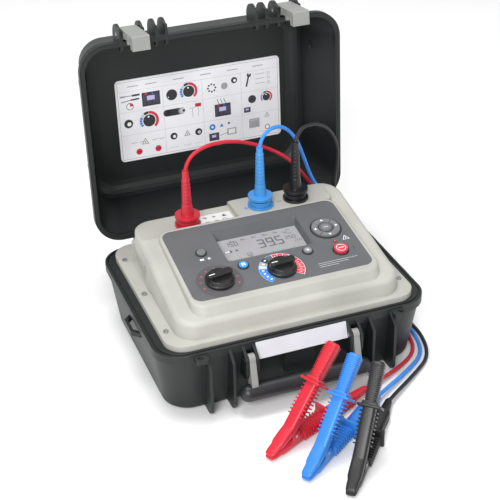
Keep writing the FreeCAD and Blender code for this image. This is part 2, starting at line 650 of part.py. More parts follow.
def lcd_window():
    return to_panel(box(GLASS_X0 - 1.5, GLASS_X1 + 1.5, GLASS_S0 - 1.5, GLASS_S1 + 1.5,
                        -LCD_DEEP - LCD_GLASS_T, -LCD_DEEP - EPS))


def lcd_module():
    back = -LCD_DEEP - LCD_GLASS_T
    return to_panel(box(GLASS_X0 - 4, GLASS_X1 + 4, GLASS_S0 - 3, GLASS_S1 + 5, back - 6, back - EPS))


def keypad_board():
    """Board under the keys, clear of the display, with the two switch holes."""
    board = box(LCD_X0 - 55, LCD_X1 + 52, FASCIA_S0 + 6, FASCIA_S1 - 6, -BOARD_DROP - 1.6, -BOARD_DROP)
    cuts = [rod(SWITCH_R + 0.2, (x, s, -40), (x, s, 0)) for x, s in KNOBS.values()]
    return to_panel(board.cut(Part.makeCompound(cuts)))


def switch_domes():
    """One spring dome per key, soldered to the keypad board."""
    spots = list(KEYS.values()) + [TEST_AT, NAV_AT]
    for turn in range(4):
        angle = math.radians(90 * turn)
        spots.append((NAV_AT[0] + 14 * math.cos(angle), NAV_AT[1] + 14 * math.sin(angle)))
    domes = [rod(3.0, (x, s, -BOARD_DROP + EPS), (x, s, -BOARD_DROP + 3)) for x, s in spots]
    return to_panel(Part.makeCompound(domes))


def key_stem(x, s, r, height):
    """Round key with a flanged foot; it stops short of its dome."""
    cap = rod(r, (x, s, -2.5), (x, s, height))
    stem = rod(min(r, 2.6), (x, s, -BOARD_DROP + 3 + KEY_TRAVEL + 0.3), (x, s, -2))
    return fuse([cap, stem])


def round_key(name):
    x, s = KEYS[name]
    return to_panel(key_stem(x, s, KEY_R, 2.6))


def test_key():
    return to_panel(key_stem(*TEST_AT, TEST_R, 4.5))


def nav_key(turn):
    """Quarter-ring key; turn 0 points right, 1 to the rear, and so on."""
    x, s = NAV_AT
    disc = rod(NAV_R, (x, s, -2.5), (x, s, 2.4)).cut(rod(NAV_MID_R + 1.2, (x, s, -4), (x, s, 4)))
    wedge_points = [V(x, s, -4), V(x + 30, s - 30, -4), V(x + 30, s + 30, -4)]
    wedge = Part.Face(Part.makePolygon(wedge_points + wedge_points[:1])).extrude(V(0, 0, 8))
    key = disc.common(wedge)
    for sign in (-1, 1):
        strip = box(x - 1, x + 40, s - 0.4, s + 0.4, -5, 5)
        strip.rotate(V(x, s, 0), V(0, 0, 1), 45 * sign)
        key = key.cut(strip)
    stem = rod(2.2, (x + 14, s, -BOARD_DROP + 3 + KEY_TRAVEL + 0.3), (x + 14, s, -2))
    key = fuse([key, stem])
    key.rotate(V(x, s, 0), V(0, 0, 1), 90 * turn)
    return to_panel(key)


def nav_middle():
    return to_panel(key_stem(*NAV_AT, NAV_MID_R, 3.0))


def status_led():
    return to_panel(fuse([rod(LED_R, (*LED_AT, -6), (*LED_AT, 0.2)),
                          Part.makeSphere(LED_R, V(*LED_AT, 0.2))]))


def knob(name):
    """Rotary knob: skirt, drum, bar grip and shaft."""
    x, s = KNOBS[name]
    skirt = rod(KNOB_R, (x, s, KNOB_LIFT), (x, s, KNOB_LIFT + 3))
    drum = Part.makeCone(KNOB_R - 1.5, KNOB_R - 3.5, 5, V(x, s, KNOB_LIFT + 2.9))
    bar = slab(x - KNOB_R + 2, x + KNOB_R - 2, s - 5.2, s + 5.2, 4.5, KNOB_LIFT + 2.9, KNOB_H)
    bar.rotate(V(x, s, 0), V(0, 0, 1), KNOB_POINTS[name])
    shaft = rod(SHAFT_R, (x, s, -26), (x, s, KNOB_LIFT + 1))
    return to_panel(fuse([skirt, drum, bar, shaft]))


def rotary_switch(name):
    """Switch body under the fascia; its bushing carries the knob's shaft."""
    x, s = KNOBS[name]
    body = fuse([rod(SWITCH_R, (x, s, -31), (x, s, -9)), rod(4.8, (x, s, -10), (x, s, -FASCIA_T - 0.5))])
    return to_panel(body.cut(rod(SHAFT_R + PIN_FIT, (x, s, -27), (x, s, 2))))


def strip_top(colour):
    return STRIP_LOW if SOCKETS[colour][0] < STRIP_STEP_X else STRIP_HIGH


def socket(colour):
    """Panel socket: coloured ring on the strip and a shrouded sleeve below."""
    x, y = SOCKETS[colour]
    top = strip_top(colour)
    body = fuse([rod(SOCKET_R, (x, y, top + EPS), (x, y, top + SOCKET_T)),
                 rod(SOCKET_BODY_R, (x, y, top - SOCKET_DEEP), (x, y, top + 1))])
    return body.cut(rod(PLUG_PIN_R + PIN_FIT, (x, y, top - 25), (x, y, top + 10)))


def plug(colour):
    """Shrouded plug with grip flange, ribs and a tapering cable sleeve."""
    x, y = SOCKETS[colour]
    base = strip_top(colour) + SOCKET_T + EPS
    top = strip_top(colour) + PLUG_RISE[colour]
    grip = base + 28
    parts = [
        rod(PLUG_PIN_R, (x, y, base - 24), (x, y, base + 1)),
        rod(14.0, (x, y, base), (x, y, base + 6)),
        Part.makeCone(9.0, 7.0, grip - base - 5, V(x, y, base + 5)),
        rod(16.5, (x, y, base + 9), (x, y, base + 13)),
        Part.makeCone(6.6, 4.2, top - grip + 1, V(x, y, grip - 1)),
    ]
    pitch = 5.0
    for row in range(int((top - grip - 8) / pitch)):
        z = grip + 3 + pitch * row
        parts.append(rod(6.6 - 0.16 * row, (x, y, z), (x, y, z + 2.4)))
    return fuse(parts)


def side_inlet():
    """Mains inlet and data socket behind the slot of the side recess."""
    x = -TIER_X + 12 + EPS
    body = box(x, x + 14, WINDOW_Y0 + 1, WINDOW_Y0 + 29, WINDOW_Z0 + 1, WINDOW_Z1 - 7)
    mouth = box(x - 1, x + 9, WINDOW_Y0 + 5, WINDOW_Y0 + 25, WINDOW_Z0 + 4, WINDOW_Z1 - 10)
    blades = [box(x + 1, x + 10, y, y + 2, WINDOW_Z0 + 7, WINDOW_Z0 + 11)
              for y in (WINDOW_Y0 + 10, WINDOW_Y0 + 18)]
    return fuse([body.cut(mouth)] + blades)


def battery_pack():
    return slab(-60, 60, -100, -20, 6, 10, 58)


def high_voltage_module():
    return slab(70, 140, -90, 40, 5, 10, 62)


def main_board():
    return box(-140, 140, -108, 84, BOARD_Z, BOARD_Z + 1.6).cut(Part.makeCompound(
        [rod(2.0, (x, y, BOARD_Z - 5), (x, y, BOARD_Z + 5)) for x in (-134, 134) for y in (-102, 78)]))


def board_posts():
    """Posts that carry the main board on the base floor."""
    return Part.makeCompound([rod(4.0, (x, y, WALL + EPS), (x, y, BOARD_Z - EPS))
                              for x in (-134, 134) for y in (-102, 78)])


def housing_screws():
    edge = HOUSING_W / 2 - 8
    spots = [(x, y) for x in (-edge, edge) for y in (-90, 0, 90)]
    top = BASE_H + HOUSING_FLANGE_H
    heads = []
    for x, y in spots:
        head = rod(3.2, (x, y, top + EPS), (x, y, top + 2.2))
        heads.append(head.cut(rod(1.4, (x, y, top + 1.0), (x, y, top + 3))))
    return Part.makeCompound(heads)


# ---- leads --------------------------------------------------------------------
def tube(name, points):
    """Round cord along straight runs joined by arcs that touch both runs."""
    spots = [V(*point) for point in points]
    edges = []
    start = spots[0]
    radii = []
    for before, here, after in zip(spots, spots[1:], spots[2:]):
        way_in = (here - before).normalize()
        way_out = (after - here).normalize()
        turn = way_in.getAngle(way_out)
        setback = 0.45 * min((here - before).Length, (after - here).Length)
        radii.append(setback / math.tan(turn / 2))
        arc_in = here - way_in * setback
        arc_out = here + way_out * setback
        bisector = (way_out - way_in).normalize()
        centre = here + bisector * (radii[-1] / math.cos(turn / 2))
        middle = centre - bisector * radii[-1]
        edges.append(Part.LineSegment(start, arc_in).toShape())
        edges.append(Part.Arc(arc_in, middle, arc_out).toShape())
        start = arc_out
    edges.append(Part.LineSegment(start, spots[-1]).toShape())
    path = Part.Wire(edges)
    ring = Part.Wire([Part.Circle(spots[0], spots[1] - spots[0], LEAD_R).toShape()])
    cord = path.makePipeShell([ring], True, False)
    ratio = cord.Volume / (math.pi * LEAD_R ** 2 * path.Length)
    print("%s length %.0f volume ratio %.3f radii %s" % (
        name, path.Length, ratio, " ".join("%.0f" % r for r in radii)))
    return cord, path.Length


def coil(colour):
    """Outer form of the wound length, lying flat behind the case."""
    x = COIL_X[colour]
    ring = rod(COIL_R + COIL_BAND / 2, (x, COIL_Y, 0.1), (x, COIL_Y, COIL_H))
    return ring.cut(rod(COIL_R - COIL_BAND / 2, (x, COIL_Y, -1), (x, COIL_Y, COIL_H + 1)))


def clip_tail_point(colour):
    """Centre of the lower handle's cable sleeve end, on the floor side."""
    x, y, turn = CLIP_AT[colour]
    reach = CLIP_TAIL + CLIP_SLEEVE_L
    angle = math.radians(turn)
    return (x + reach * math.cos(angle), y + reach * math.sin(angle), 8.0)


# ---- clips ----------------------------------------------------------------------
def clip_arm(start, end, guard_low):
    """Fins, guard and ribbed handle of one half, along +u, its inner face up."""
    w = CLIP_HALF_W
    thick = CLIP_ARM_T / 2
    guard_u = end - CLIP_HANDLE
    parts = [box(start, end, -w, w, -thick, thick)]
    parts.append(box(guard_u, guard_u + 4, -CLIP_GUARD_W, CLIP_GUARD_W, guard_low, thick + 9))
    for row in range(8):
        u = guard_u - 6 - FIN_PITCH * row
        parts.append(box(u, u + 2.2, -w - 2.5, w + 2.5, 1 - thick, thick + 2))
    for row in range(15):
        u = guard_u + 8 + GROOVE_PITCH * row
        parts.append(box(u, u + 1.4, -w - 0.6, w + 0.6, -thick - 0.5, thick + 0.6))
    return fuse(parts)


def plate_uz(points, half):
    """Plate of the given (u, z) outline, reaching half to each side."""
    loop = [V(u, -half, z) for u, z in points]
    return Part.Face(Part.makePolygon(loop + loop[:1])).extrude(V(0, 2 * half, 0))


def clip_pin_rod(r):
    return rod(r, (CLIP_PIVOT_U, -20, CLIP_PIVOT_Z), (CLIP_PIVOT_U, 20, CLIP_PIVOT_Z))


def jaw_plane(u):
    """Height of the plane where the jaws meet, u from the jaw tip."""
    return CLIP_TIP_Z + u * math.tan(math.radians(CLIP_NOSE_RISE))


def clip_bottom(colour):
    w = CLIP_HALF_W
    arm = clip_arm(CLIP_ARM_U, CLIP_TAIL, -CLIP_ARM_Z)
    arm.translate(V(0, 0, CLIP_ARM_Z))
    top, foot = CLIP_ARM_Z + CLIP_ARM_T / 2, CLIP_ARM_Z - CLIP_ARM_T / 2
    end = CLIP_ARM_U + 4
    tip = plate_uz([(0, 2), (16, 1), (16, jaw_plane(16)), (0, jaw_plane(0))], 5.5)
    nose = plate_uz([(10, 1.2), (end, foot), (end, top), (CLIP_ARM_U, top), (10, jaw_plane(10))], w - 0.8)
    lug_points = [(CLIP_PIVOT_U - 7, 8), (CLIP_PIVOT_U + 7, 8), (CLIP_PIVOT_U + 5, CLIP_PIVOT_Z + 5),
                  (CLIP_PIVOT_U - 5, CLIP_PIVOT_Z + 5)]
    sleeve = Part.makeCone(6.5, 3.6, CLIP_SLEEVE_L + 2, V(CLIP_TAIL - 2, 0, 8), V(1, 0, 0))
    half = fuse([arm, tip, nose, plate_uz(lug_points, w), sleeve])
    room = box(CLIP_PIVOT_U - 14, CLIP_PIVOT_U + 14, CLIP_LUG_T - w, w - CLIP_LUG_T, 9, 40)
    return to_clip(half.cut(room).cut(clip_pin_rod(CLIP_PIN_R)), colour)


def clip_top(colour):
    """Upper half: a handle raised about the pivot, and a nose on the lower jaw."""
    w = CLIP_HALF_W
    arm = clip_arm(0, CLIP_UPPER_L, -CLIP_ARM_T / 2 - 5).mirror(V(0, 0, 0), V(0, 0, 1))
    arm.rotate(V(0, 0, 0), V(0, 1, 0), -CLIP_TILT)
    arm.translate(V(CLIP_ARM_U, 0, CLIP_UPPER_Z))
    along = V(math.cos(math.radians(CLIP_TILT)), 0, math.sin(math.radians(CLIP_TILT)))
    out = V(-along.z, 0, along.x) * (CLIP_ARM_T / 2)
    start = V(CLIP_ARM_U, 0, CLIP_UPPER_Z)
    outer, outer_far, inner_far = start + out, start + out + along * 14, start - out + along * 14
    gap = 0.35
    back = CLIP_PIVOT_U + 2
    tip = plate_uz([(0, jaw_plane(0) + gap), (16, jaw_plane(16) + gap), (16, jaw_plane(16) + 9),
                    (0, jaw_plane(0) + 4.5)], 5.5)
    nose = plate_uz([(10, jaw_plane(10) + gap), (back, jaw_plane(back) + gap), (inner_far.x, inner_far.z),
                     (outer_far.x, outer_far.z), (outer.x, outer.z), (10, jaw_plane(10) + 7)], w - 0.8)
    cheek_points = [(CLIP_PIVOT_U - 5, CLIP_PIVOT_Z - 5), (CLIP_PIVOT_U + 5, CLIP_PIVOT_Z - 5),
                    (CLIP_PIVOT_U + 6, CLIP_PIVOT_Z + 9), (CLIP_PIVOT_U - 6, CLIP_PIVOT_Z + 9)]
    cheek_half = w - CLIP_LUG_T - 0.4
    lug_room = rod(8.2, (CLIP_PIVOT_U, cheek_half, CLIP_PIVOT_Z), (CLIP_PIVOT_U, 20, CLIP_PIVOT_Z))
    half = fuse([arm, tip, nose]).cut(lug_room).cut(lug_room.mirror(V(0, 0, 0), V(0, 1, 0)))
    half = fuse([half, plate_uz(cheek_points, cheek_half)])
    return to_clip(half.cut(clip_pin_rod(CLIP_PIN_R + PIN_FIT)), colour)


def clip_pin(colour):
    w = CLIP_HALF_W
    pin = rod(CLIP_PIN_R, (CLIP_PIVOT_U, -w, CLIP_PIVOT_Z), (CLIP_PIVOT_U, w, CLIP_PIVOT_Z))
    return to_clip(pin, colour)


def main():
    os.makedirs("parts", exist_ok=True)
    save("base_shell", base_shell())
    save("hinge_pins", hinge_pins())
    save("front_label", front_label())
    save("strap_loops", Part.makeCompound(both_sides(strap_loop())))
    save("lid_shell", lid_shell())
    save("lid_seal", lid_seal())
    save("lid_card", lid_card())
    save("lid_screws", lid_screws())
    save("latch_pins", latch_pins())
    save("latch_left", latch(-1))
    save("latch_right", latch(1))
    save("handle_pins", handle_pins())
    save("handle_grip", handle_grip())
    save("handle_arms", handle_arms())
    save("panel_housing", panel_housing())
    save("housing_screws", housing_screws())
    save("fascia", fascia())
    save("key_rings", key_rings())
    save("lcd_bezel", lcd_bezel())
    save("lcd_window", lcd_window())
    save("lcd_module", lcd_module())
    save("keypad_board", keypad_board())
    save("switch_domes", switch_domes())
    save("status_led", status_led())
    for name in KEYS:
        save(name, round_key(name))
    save("key_test", test_key())
    for turn, word in enumerate(("right", "up", "left", "down")):
        save("nav_" + word, nav_key(turn))
    save("nav_middle", nav_middle())
    for name in KNOBS:
        save(name, knob(name))
    save("rotary_switches", Part.makeCompound([rotary_switch(name) for name in KNOBS]))
    save("clip_pins", Part.makeCompound([clip_pin(colour) for colour in CLIP_AT]))
    save("side_inlet", side_inlet())
    save("battery_pack", battery_pack())
    save("high_voltage_module", high_voltage_module())
    save("main_board", main_board())
    save("board_posts", board_posts())
    for colour in SOCKETS:
        save("socket_" + colour, socket(colour))
        save("plug_" + colour, plug(colour))
        first, first_length = tube(colour + " plug side", PLUG_ROUTE[colour])
        second, second_length = tube(colour + " clip side", CLIP_ROUTE[colour] + [clip_tail_point(colour)])
        save("lead_" + colour, Part.makeCompound([first, second]))
        save("coil_" + colour, coil(colour))
        save("clip_bottom_" + colour, clip_bottom(colour))
        save("clip_top_" + colour, clip_top(colour))
        print("%s lead outside the coil %.0f" % (colour, first_length + second_length))


main()
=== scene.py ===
import json
import math

import bmesh
import bpy
from mathutils import Matrix, Vector


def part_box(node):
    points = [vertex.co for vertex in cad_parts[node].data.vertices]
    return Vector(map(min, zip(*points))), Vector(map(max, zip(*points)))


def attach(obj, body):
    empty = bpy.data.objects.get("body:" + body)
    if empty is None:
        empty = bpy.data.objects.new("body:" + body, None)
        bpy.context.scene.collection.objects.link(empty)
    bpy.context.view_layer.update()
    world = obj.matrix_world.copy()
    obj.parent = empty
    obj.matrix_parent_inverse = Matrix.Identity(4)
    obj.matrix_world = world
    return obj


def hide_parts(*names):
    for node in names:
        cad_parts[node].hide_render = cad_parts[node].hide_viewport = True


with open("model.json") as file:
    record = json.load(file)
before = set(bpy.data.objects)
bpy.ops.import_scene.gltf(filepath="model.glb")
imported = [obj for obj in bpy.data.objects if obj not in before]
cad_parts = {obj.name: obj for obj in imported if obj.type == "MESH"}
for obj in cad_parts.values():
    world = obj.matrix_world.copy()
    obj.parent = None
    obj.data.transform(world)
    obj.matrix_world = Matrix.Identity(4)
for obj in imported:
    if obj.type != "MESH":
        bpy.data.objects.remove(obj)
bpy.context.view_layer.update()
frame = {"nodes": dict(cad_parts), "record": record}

record = frame["record"]
joints = {joint["name"]: joint for joint in record["behaviour"]["joints"]}


# ---- Room --------------------------------------------------------------------
# A pale floor, a large soft lamp over the left shoulder, a weaker one on the
# right and an even sky.
def room_floor():
    mesh = bmesh.new()
    bmesh.ops.create_grid(mesh, x_segments=1, y_segments=1, size=6.0)
    data = bpy.data.meshes.new("floor")
    mesh.to_mesh(data)
    mesh.free()
    floor = bpy.data.objects.new("floor", data)
    bpy.context.collection.objects.link(floor)
    paint = bpy.data.materials.new("floor paint")
    paint.use_nodes = True
    shader = paint.node_tree.nodes["Principled BSDF"]
    shader.inputs["Base Color"].default_value = (0.88, 0.88, 0.88, 1)
    shader.inputs["Roughness"].default_value = 0.7
    data.materials.append(paint)


def soft_lamp(name, place, aim, size, watts):
    data = bpy.data.lights.new(name, "AREA")
    data.shape = "DISK"
    data.size = size
    data.energy = watts
    lamp = bpy.data.objects.new(name, data)
    lamp.location = place
    lamp.rotation_euler = (Vector(aim) - Vector(place)).to_track_quat("-Z", "Y").to_euler()
    bpy.context.collection.objects.link(lamp)


room_floor()
soft_lamp("key lamp", (-1.4, -2.1, 1.8), (0, 0, 0.1), 1.2, 66)
soft_lamp("side lamp", (2.2, -1.2, 1.2), (0, 0, 0.1), 1.2, 6)
soft_lamp("top lamp", (-0.2, 0.3, 2.8), (0, 0, 0.1), 1.3, 48)
sky = bpy.data.worlds.new("sky")
sky.use_nodes = True
sky.node_tree.nodes["Background"].inputs["Color"].default_value = (1, 1, 1, 1)
sky.node_tree.nodes["Background"].inputs["Strength"].default_value = 0.55
bpy.context.scene.world = sky
bpy.context.scene.view_settings.view_transform = "Standard"

# The camera stands left of the front, above the panel, with a long lens.
lens = bpy.data.cameras.new("view")
lens.sensor_width = 36.0
lens.lens = 88.8
camera = bpy.data.objects.new("view", lens)
turn = Matrix.Rotation(math.radians(-20.35), 4, "Z") @ Matrix.Rotation(math.radians(59.13), 4, "X")
turn = turn @ Matrix.Rotation(math.radians(-1.29), 4, "Z")
camera.matrix_world = Matrix.Translation((-0.4872, -1.2791, 0.9472)) @ turn
bpy.context.collection.objects.link(camera)
bpy.context.scene.camera = camera


# ---- Test leads ------------------------------------------------------------------
# Three silicone leads, 5 mm thick and about 3 m long. Each rises from its plug,
# drops over the case's right rim, is wound up behind the case, comes forward
# along its right side and runs on inside its clip. Silicone has a fine bloom.
LEAD_THICK = 0.005
COIL_MIDDLE = 0.0275
COIL_Y = 0.195
COIL_X = {"red": -0.024, "blue": 0.053, "black": 0.130}
COIL_TURNS = {"red": 9.5, "blue": 10.5, "black": 11.5}
STEPS_PER_TURN = 16
SILICONE = {"red": (0.55, 0.012, 0.03), "blue": (0.035, 0.25, 0.78), "black": (0.012, 0.012, 0.014)}

plug_route = {
    "red": [
        (-0.075, 0.0635, 0.229), (-0.072, 0.064, 0.241), (-0.058, 0.067, 0.252),
        (-0.033, 0.072, 0.256), (0.003, 0.082, 0.248), (0.042, 0.094, 0.228), (0.082, 0.106, 0.199),
        (0.11, 0.115, 0.164), (0.132, 0.122, 0.13), (0.16, 0.126, 0.11), (0.187, 0.127, 0.09),
        (0.199, 0.131, 0.058), (0.209, 0.145, 0.027), (0.215, 0.173, 0.006), (0.21, 0.208, 0.0026),
        (0.184, 0.236, 0.0026), (0.14, 0.247, 0.0026), (0.084, 0.249, 0.0026),
        (0.028, 0.245, 0.0026), (-0.002, 0.234, 0.0026), (-0.024, 0.2275, 0.0026)],
    "blue": [
        (0.027, 0.0635, 0.242), (0.03, 0.065, 0.253), (0.043, 0.07, 0.262), (0.06, 0.077, 0.261),
        (0.078, 0.088, 0.247), (0.095, 0.098, 0.223), (0.108, 0.106, 0.191), (0.122, 0.112, 0.154),
        (0.142, 0.117, 0.124), (0.166, 0.119, 0.107), (0.188, 0.119, 0.087), (0.2, 0.123, 0.054),
        (0.207, 0.138, 0.024), (0.208, 0.168, 0.005), (0.201, 0.204, 0.0026), (0.174, 0.229, 0.0026),
        (0.128, 0.239, 0.0026), (0.084, 0.236, 0.0026), (0.053, 0.2275, 0.0026)],
    "black": [
        (0.0775, 0.0635, 0.24), (0.08, 0.065, 0.249), (0.093, 0.073, 0.256), (0.115, 0.083, 0.252),
        (0.138, 0.094, 0.236), (0.155, 0.101, 0.208), (0.158, 0.105, 0.176), (0.153, 0.108, 0.137),
        (0.165, 0.111, 0.109), (0.186, 0.112, 0.087), (0.197, 0.115, 0.053), (0.201, 0.131, 0.023),
        (0.201, 0.162, 0.005), (0.19, 0.198, 0.0026), (0.162, 0.222, 0.0026), (0.13, 0.2275, 0.0026)],
}
clip_route = {
    "red": [
        (-0.024, 0.1625, 0.0174), (0.004, 0.156, 0.012), (0.042, 0.146, 0.004),
        (0.092, 0.141, 0.0026), (0.142, 0.143, 0.0026), (0.175, 0.126, 0.0026),
        (0.183, 0.084, 0.0026), (0.182, 0.03, 0.0026), (0.179, -0.026, 0.0026),
        (0.181, -0.074, 0.0026), (0.17, -0.121, 0.003), (0.133, -0.149, 0.005),
        (0.0723, -0.1753, 0.008),
        (0.0559, -0.1827, 0.0095), (0.0359, -0.1918, 0.0122),
        (0.0067, -0.205, 0.0122), (-0.0224, -0.2183, 0.0095), (-0.0352, -0.224, 0.0085)],
    "blue": [
        (0.053, 0.1625, 0.0174), (0.084, 0.158, 0.01), (0.122, 0.15, 0.003), (0.16, 0.147, 0.0026),
        (0.185, 0.12, 0.0026), (0.189, 0.074, 0.0026), (0.189, 0.016, 0.0026), (0.186, -0.04, 0.0026),
        (0.188, -0.084, 0.0026), (0.175, -0.131, 0.003), (0.14, -0.158, 0.005),
        (0.0799, -0.1947, 0.008),
        (0.0653, -0.2053, 0.0095), (0.0475, -0.2181, 0.0122),
        (0.0216, -0.2369, 0.0122), (-0.0044, -0.2556, 0.0095), (-0.0158, -0.2638, 0.0085)],
    "black": [
        (0.13, 0.1625, 0.0174), (0.154, 0.16, 0.01), (0.18, 0.147, 0.003), (0.194, 0.112, 0.0026),
        (0.195, 0.064, 0.0026), (0.196, 0.008, 0.0026), (0.193, -0.046, 0.0026),
        (0.195, -0.092, 0.0026), (0.18, -0.139, 0.003), (0.146, -0.167, 0.005),
        (0.088, -0.2077, 0.008),
        (0.0762, -0.2213, 0.0095), (0.0619, -0.238, 0.0122),
        (0.041, -0.2623, 0.0122), (0.0202, -0.2865, 0.0095), (0.011, -0.2971, 0.0085)],
}


def wound_turns(colour):
    """Control points of the coil: three turns across, wound in and out, layer on layer."""
    turns = COIL_TURNS[colour]
    swell = 1 / math.cos(math.pi / STEPS_PER_TURN)

    def seat(turn_number):
        layer = min(turn_number // 3, 3)
        column = turn_number - 3 * layer
        if turn_number >= int(turns):
            column = 2
        ring = column - 1 if layer % 2 else 1 - column
        return COIL_MIDDLE + ring * LEAD_THICK, 0.0026 + layer * 0.00493

    points = []
    for step in range(1, int(turns * STEPS_PER_TURN)):
        place = step / STEPS_PER_TURN
        now = int(place)
        last_half = now >= int(turns)
        radius, height = seat(now)
        if now:
            old_radius, old_height = seat(now - 1)
            climb = min((place - now) * 6, 1)
            slip = min(max((place - now) * 6 - (1 if last_half else 0), 0) / (1.5 if last_half else 1), 1)
            height = old_height + (height - old_height) * climb
            radius = old_radius + (radius - old_radius) * slip
        angle = math.radians(90) + 2 * math.pi * place
        points.append((COIL_X[colour] + radius * swell * math.cos(angle),
                       COIL_Y + radius * swell * math.sin(angle), height))
    return points


def silicone(name, colour, roughness):
    paint = bpy.data.materials.new(name)
    paint.use_nodes = True
    tree = paint.node_tree
    shader = tree.nodes["Principled BSDF"]
    shader.inputs["Specular IOR Level"].default_value = 0.4
    place = tree.nodes.new("ShaderNodeTexCoord")
    bloom = tree.nodes.new("ShaderNodeTexNoise")
    bloom.inputs["Scale"].default_value = 260
    bloom.inputs["Detail"].default_value = 3
    tree.links.new(place.outputs["Object"], bloom.inputs["Vector"])
    tint = tree.nodes.new("ShaderNodeValToRGB")
    tint.color_ramp.elements[0].color = (*[part * 0.82 for part in colour], 1)
    tint.color_ramp.elements[1].color = (*[min(part * 1.12 + 0.004, 1) for part in colour], 1)
    tree.links.new(bloom.outputs["Fac"], tint.inputs["Fac"])
    tree.links.new(tint.outputs["Color"], shader.inputs["Base Color"])
    rough = tree.nodes.new("ShaderNodeMapRange")
    rough.inputs["To Min"].default_value = roughness - 0.06
    rough.inputs["To Max"].default_value = roughness + 0.08
    tree.links.new(bloom.outputs["Fac"], rough.inputs["Value"])
    tree.links.new(rough.outputs["Result"], shader.inputs["Roughness"])
    return paint


def lead(colour):
    route = plug_route[colour] + wound_turns(colour) + clip_route[colour]
    data = bpy.data.curves.new("test_lead_" + colour, "CURVE")
    data.dimensions = "3D"
    data.bevel_depth = LEAD_THICK / 2
    data.bevel_resolution = 4
    data.resolution_u = 5
    line = data.splines.new("NURBS")
    line.points.add(len(route) - 1)
    for point, spot in zip(line.points, route):
        point.co = (*spot, 1)
    line.order_u = 3
    line.use_endpoint_u = True
    data.use_fill_caps = True
    piece = bpy.data.objects.new("test_lead_" + colour, data)
    bpy.context.collection.objects.link(piece)
    data.materials.append(silicone("silicone " + colour, SILICONE[colour], 0.45))
    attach(piece, "case")
    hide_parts("lead_" + colour, "coil_" + colour)
    return piece


leads = {colour: lead(colour) for colour in plug_route}


# ---- Moulded plastics of the case -------------------------------------------------
# Structural foam polypropylene, dark green-grey, with a fine spark-eroded
# grain, soft mould radii and slightly polished, paler edges.
def soft_edge_group():
    """Rounds a sharp edge's shading and marks where the edge is."""
    group = bpy.data.node_groups.new("soft edge", "ShaderNodeTree")
    group.interface.new_socket("Radius", in_out="INPUT", socket_type="NodeSocketFloat")
    group.interface.new_socket("Normal", in_out="OUTPUT", socket_type="NodeSocketVector")
    group.interface.new_socket("Edge", in_out="OUTPUT", socket_type="NodeSocketFloat")
    inward = group.nodes.new("NodeGroupInput")
    outward = group.nodes.new("NodeGroupOutput")
    rounded = group.nodes.new("ShaderNodeBevel")
    rounded.samples = 6
    flat = group.nodes.new("ShaderNodeNewGeometry")
    match = group.nodes.new("ShaderNodeVectorMath")
    match.operation = "DOT_PRODUCT"
    edge = group.nodes.new("ShaderNodeMapRange")
    edge.inputs["From Min"].default_value = 0.97
    edge.inputs["From Max"].default_value = 0.72
    group.links.new(inward.outputs["Radius"], rounded.inputs["Radius"])
    group.links.new(rounded.outputs["Normal"], match.inputs[0])
    group.links.new(flat.outputs["Normal"], match.inputs[1])
    group.links.new(match.outputs["Value"], edge.inputs["Value"])
    group.links.new(rounded.outputs["Normal"], outward.inputs["Normal"])
    group.links.new(edge.outputs["Result"], outward.inputs["Edge"])
    return group


def grain_group():
    """Fine mould grain: a height, and a slow tone that mottles the surface."""
    group = bpy.data.node_groups.new("mould grain", "ShaderNodeTree")
    group.interface.new_socket("Scale", in_out="INPUT", socket_type="NodeSocketFloat")
    group.interface.new_socket("Height", in_out="OUTPUT", socket_type="NodeSocketFloat")
    group.interface.new_socket("Tone", in_out="OUTPUT", socket_type="NodeSocketFloat")
    inward = group.nodes.new("NodeGroupInput")
    outward = group.nodes.new("NodeGroupOutput")
    place = group.nodes.new("ShaderNodeTexCoord")
    fine = group.nodes.new("ShaderNodeTexNoise")
    fine.inputs["Detail"].default_value = 2
    cells = group.nodes.new("ShaderNodeTexVoronoi")
    cells.feature = "SMOOTH_F1"
    slow = group.nodes.new("ShaderNodeTexNoise")
    slow.inputs["Scale"].default_value = 14
    slow.inputs["Detail"].default_value = 4
    mix = group.nodes.new("ShaderNodeMath")
    mix.operation = "MULTIPLY_ADD"
    mix.inputs[1].default_value = 0.6
    for node in (fine, cells):
        group.links.new(inward.outputs["Scale"], node.inputs["Scale"])
    for node in (fine, cells, slow):
        group.links.new(place.outputs["Object"], node.inputs["Vector"])
    group.links.new(cells.outputs["Distance"], mix.inputs[0])
    group.links.new(fine.outputs["Fac"], mix.inputs[2])
    group.links.new(mix.outputs["Value"], outward.inputs["Height"])
    group.links.new(slow.outputs["Fac"], outward.inputs["Tone"])
    return group


soft_edge = soft_edge_group()
mould_grain = grain_group()


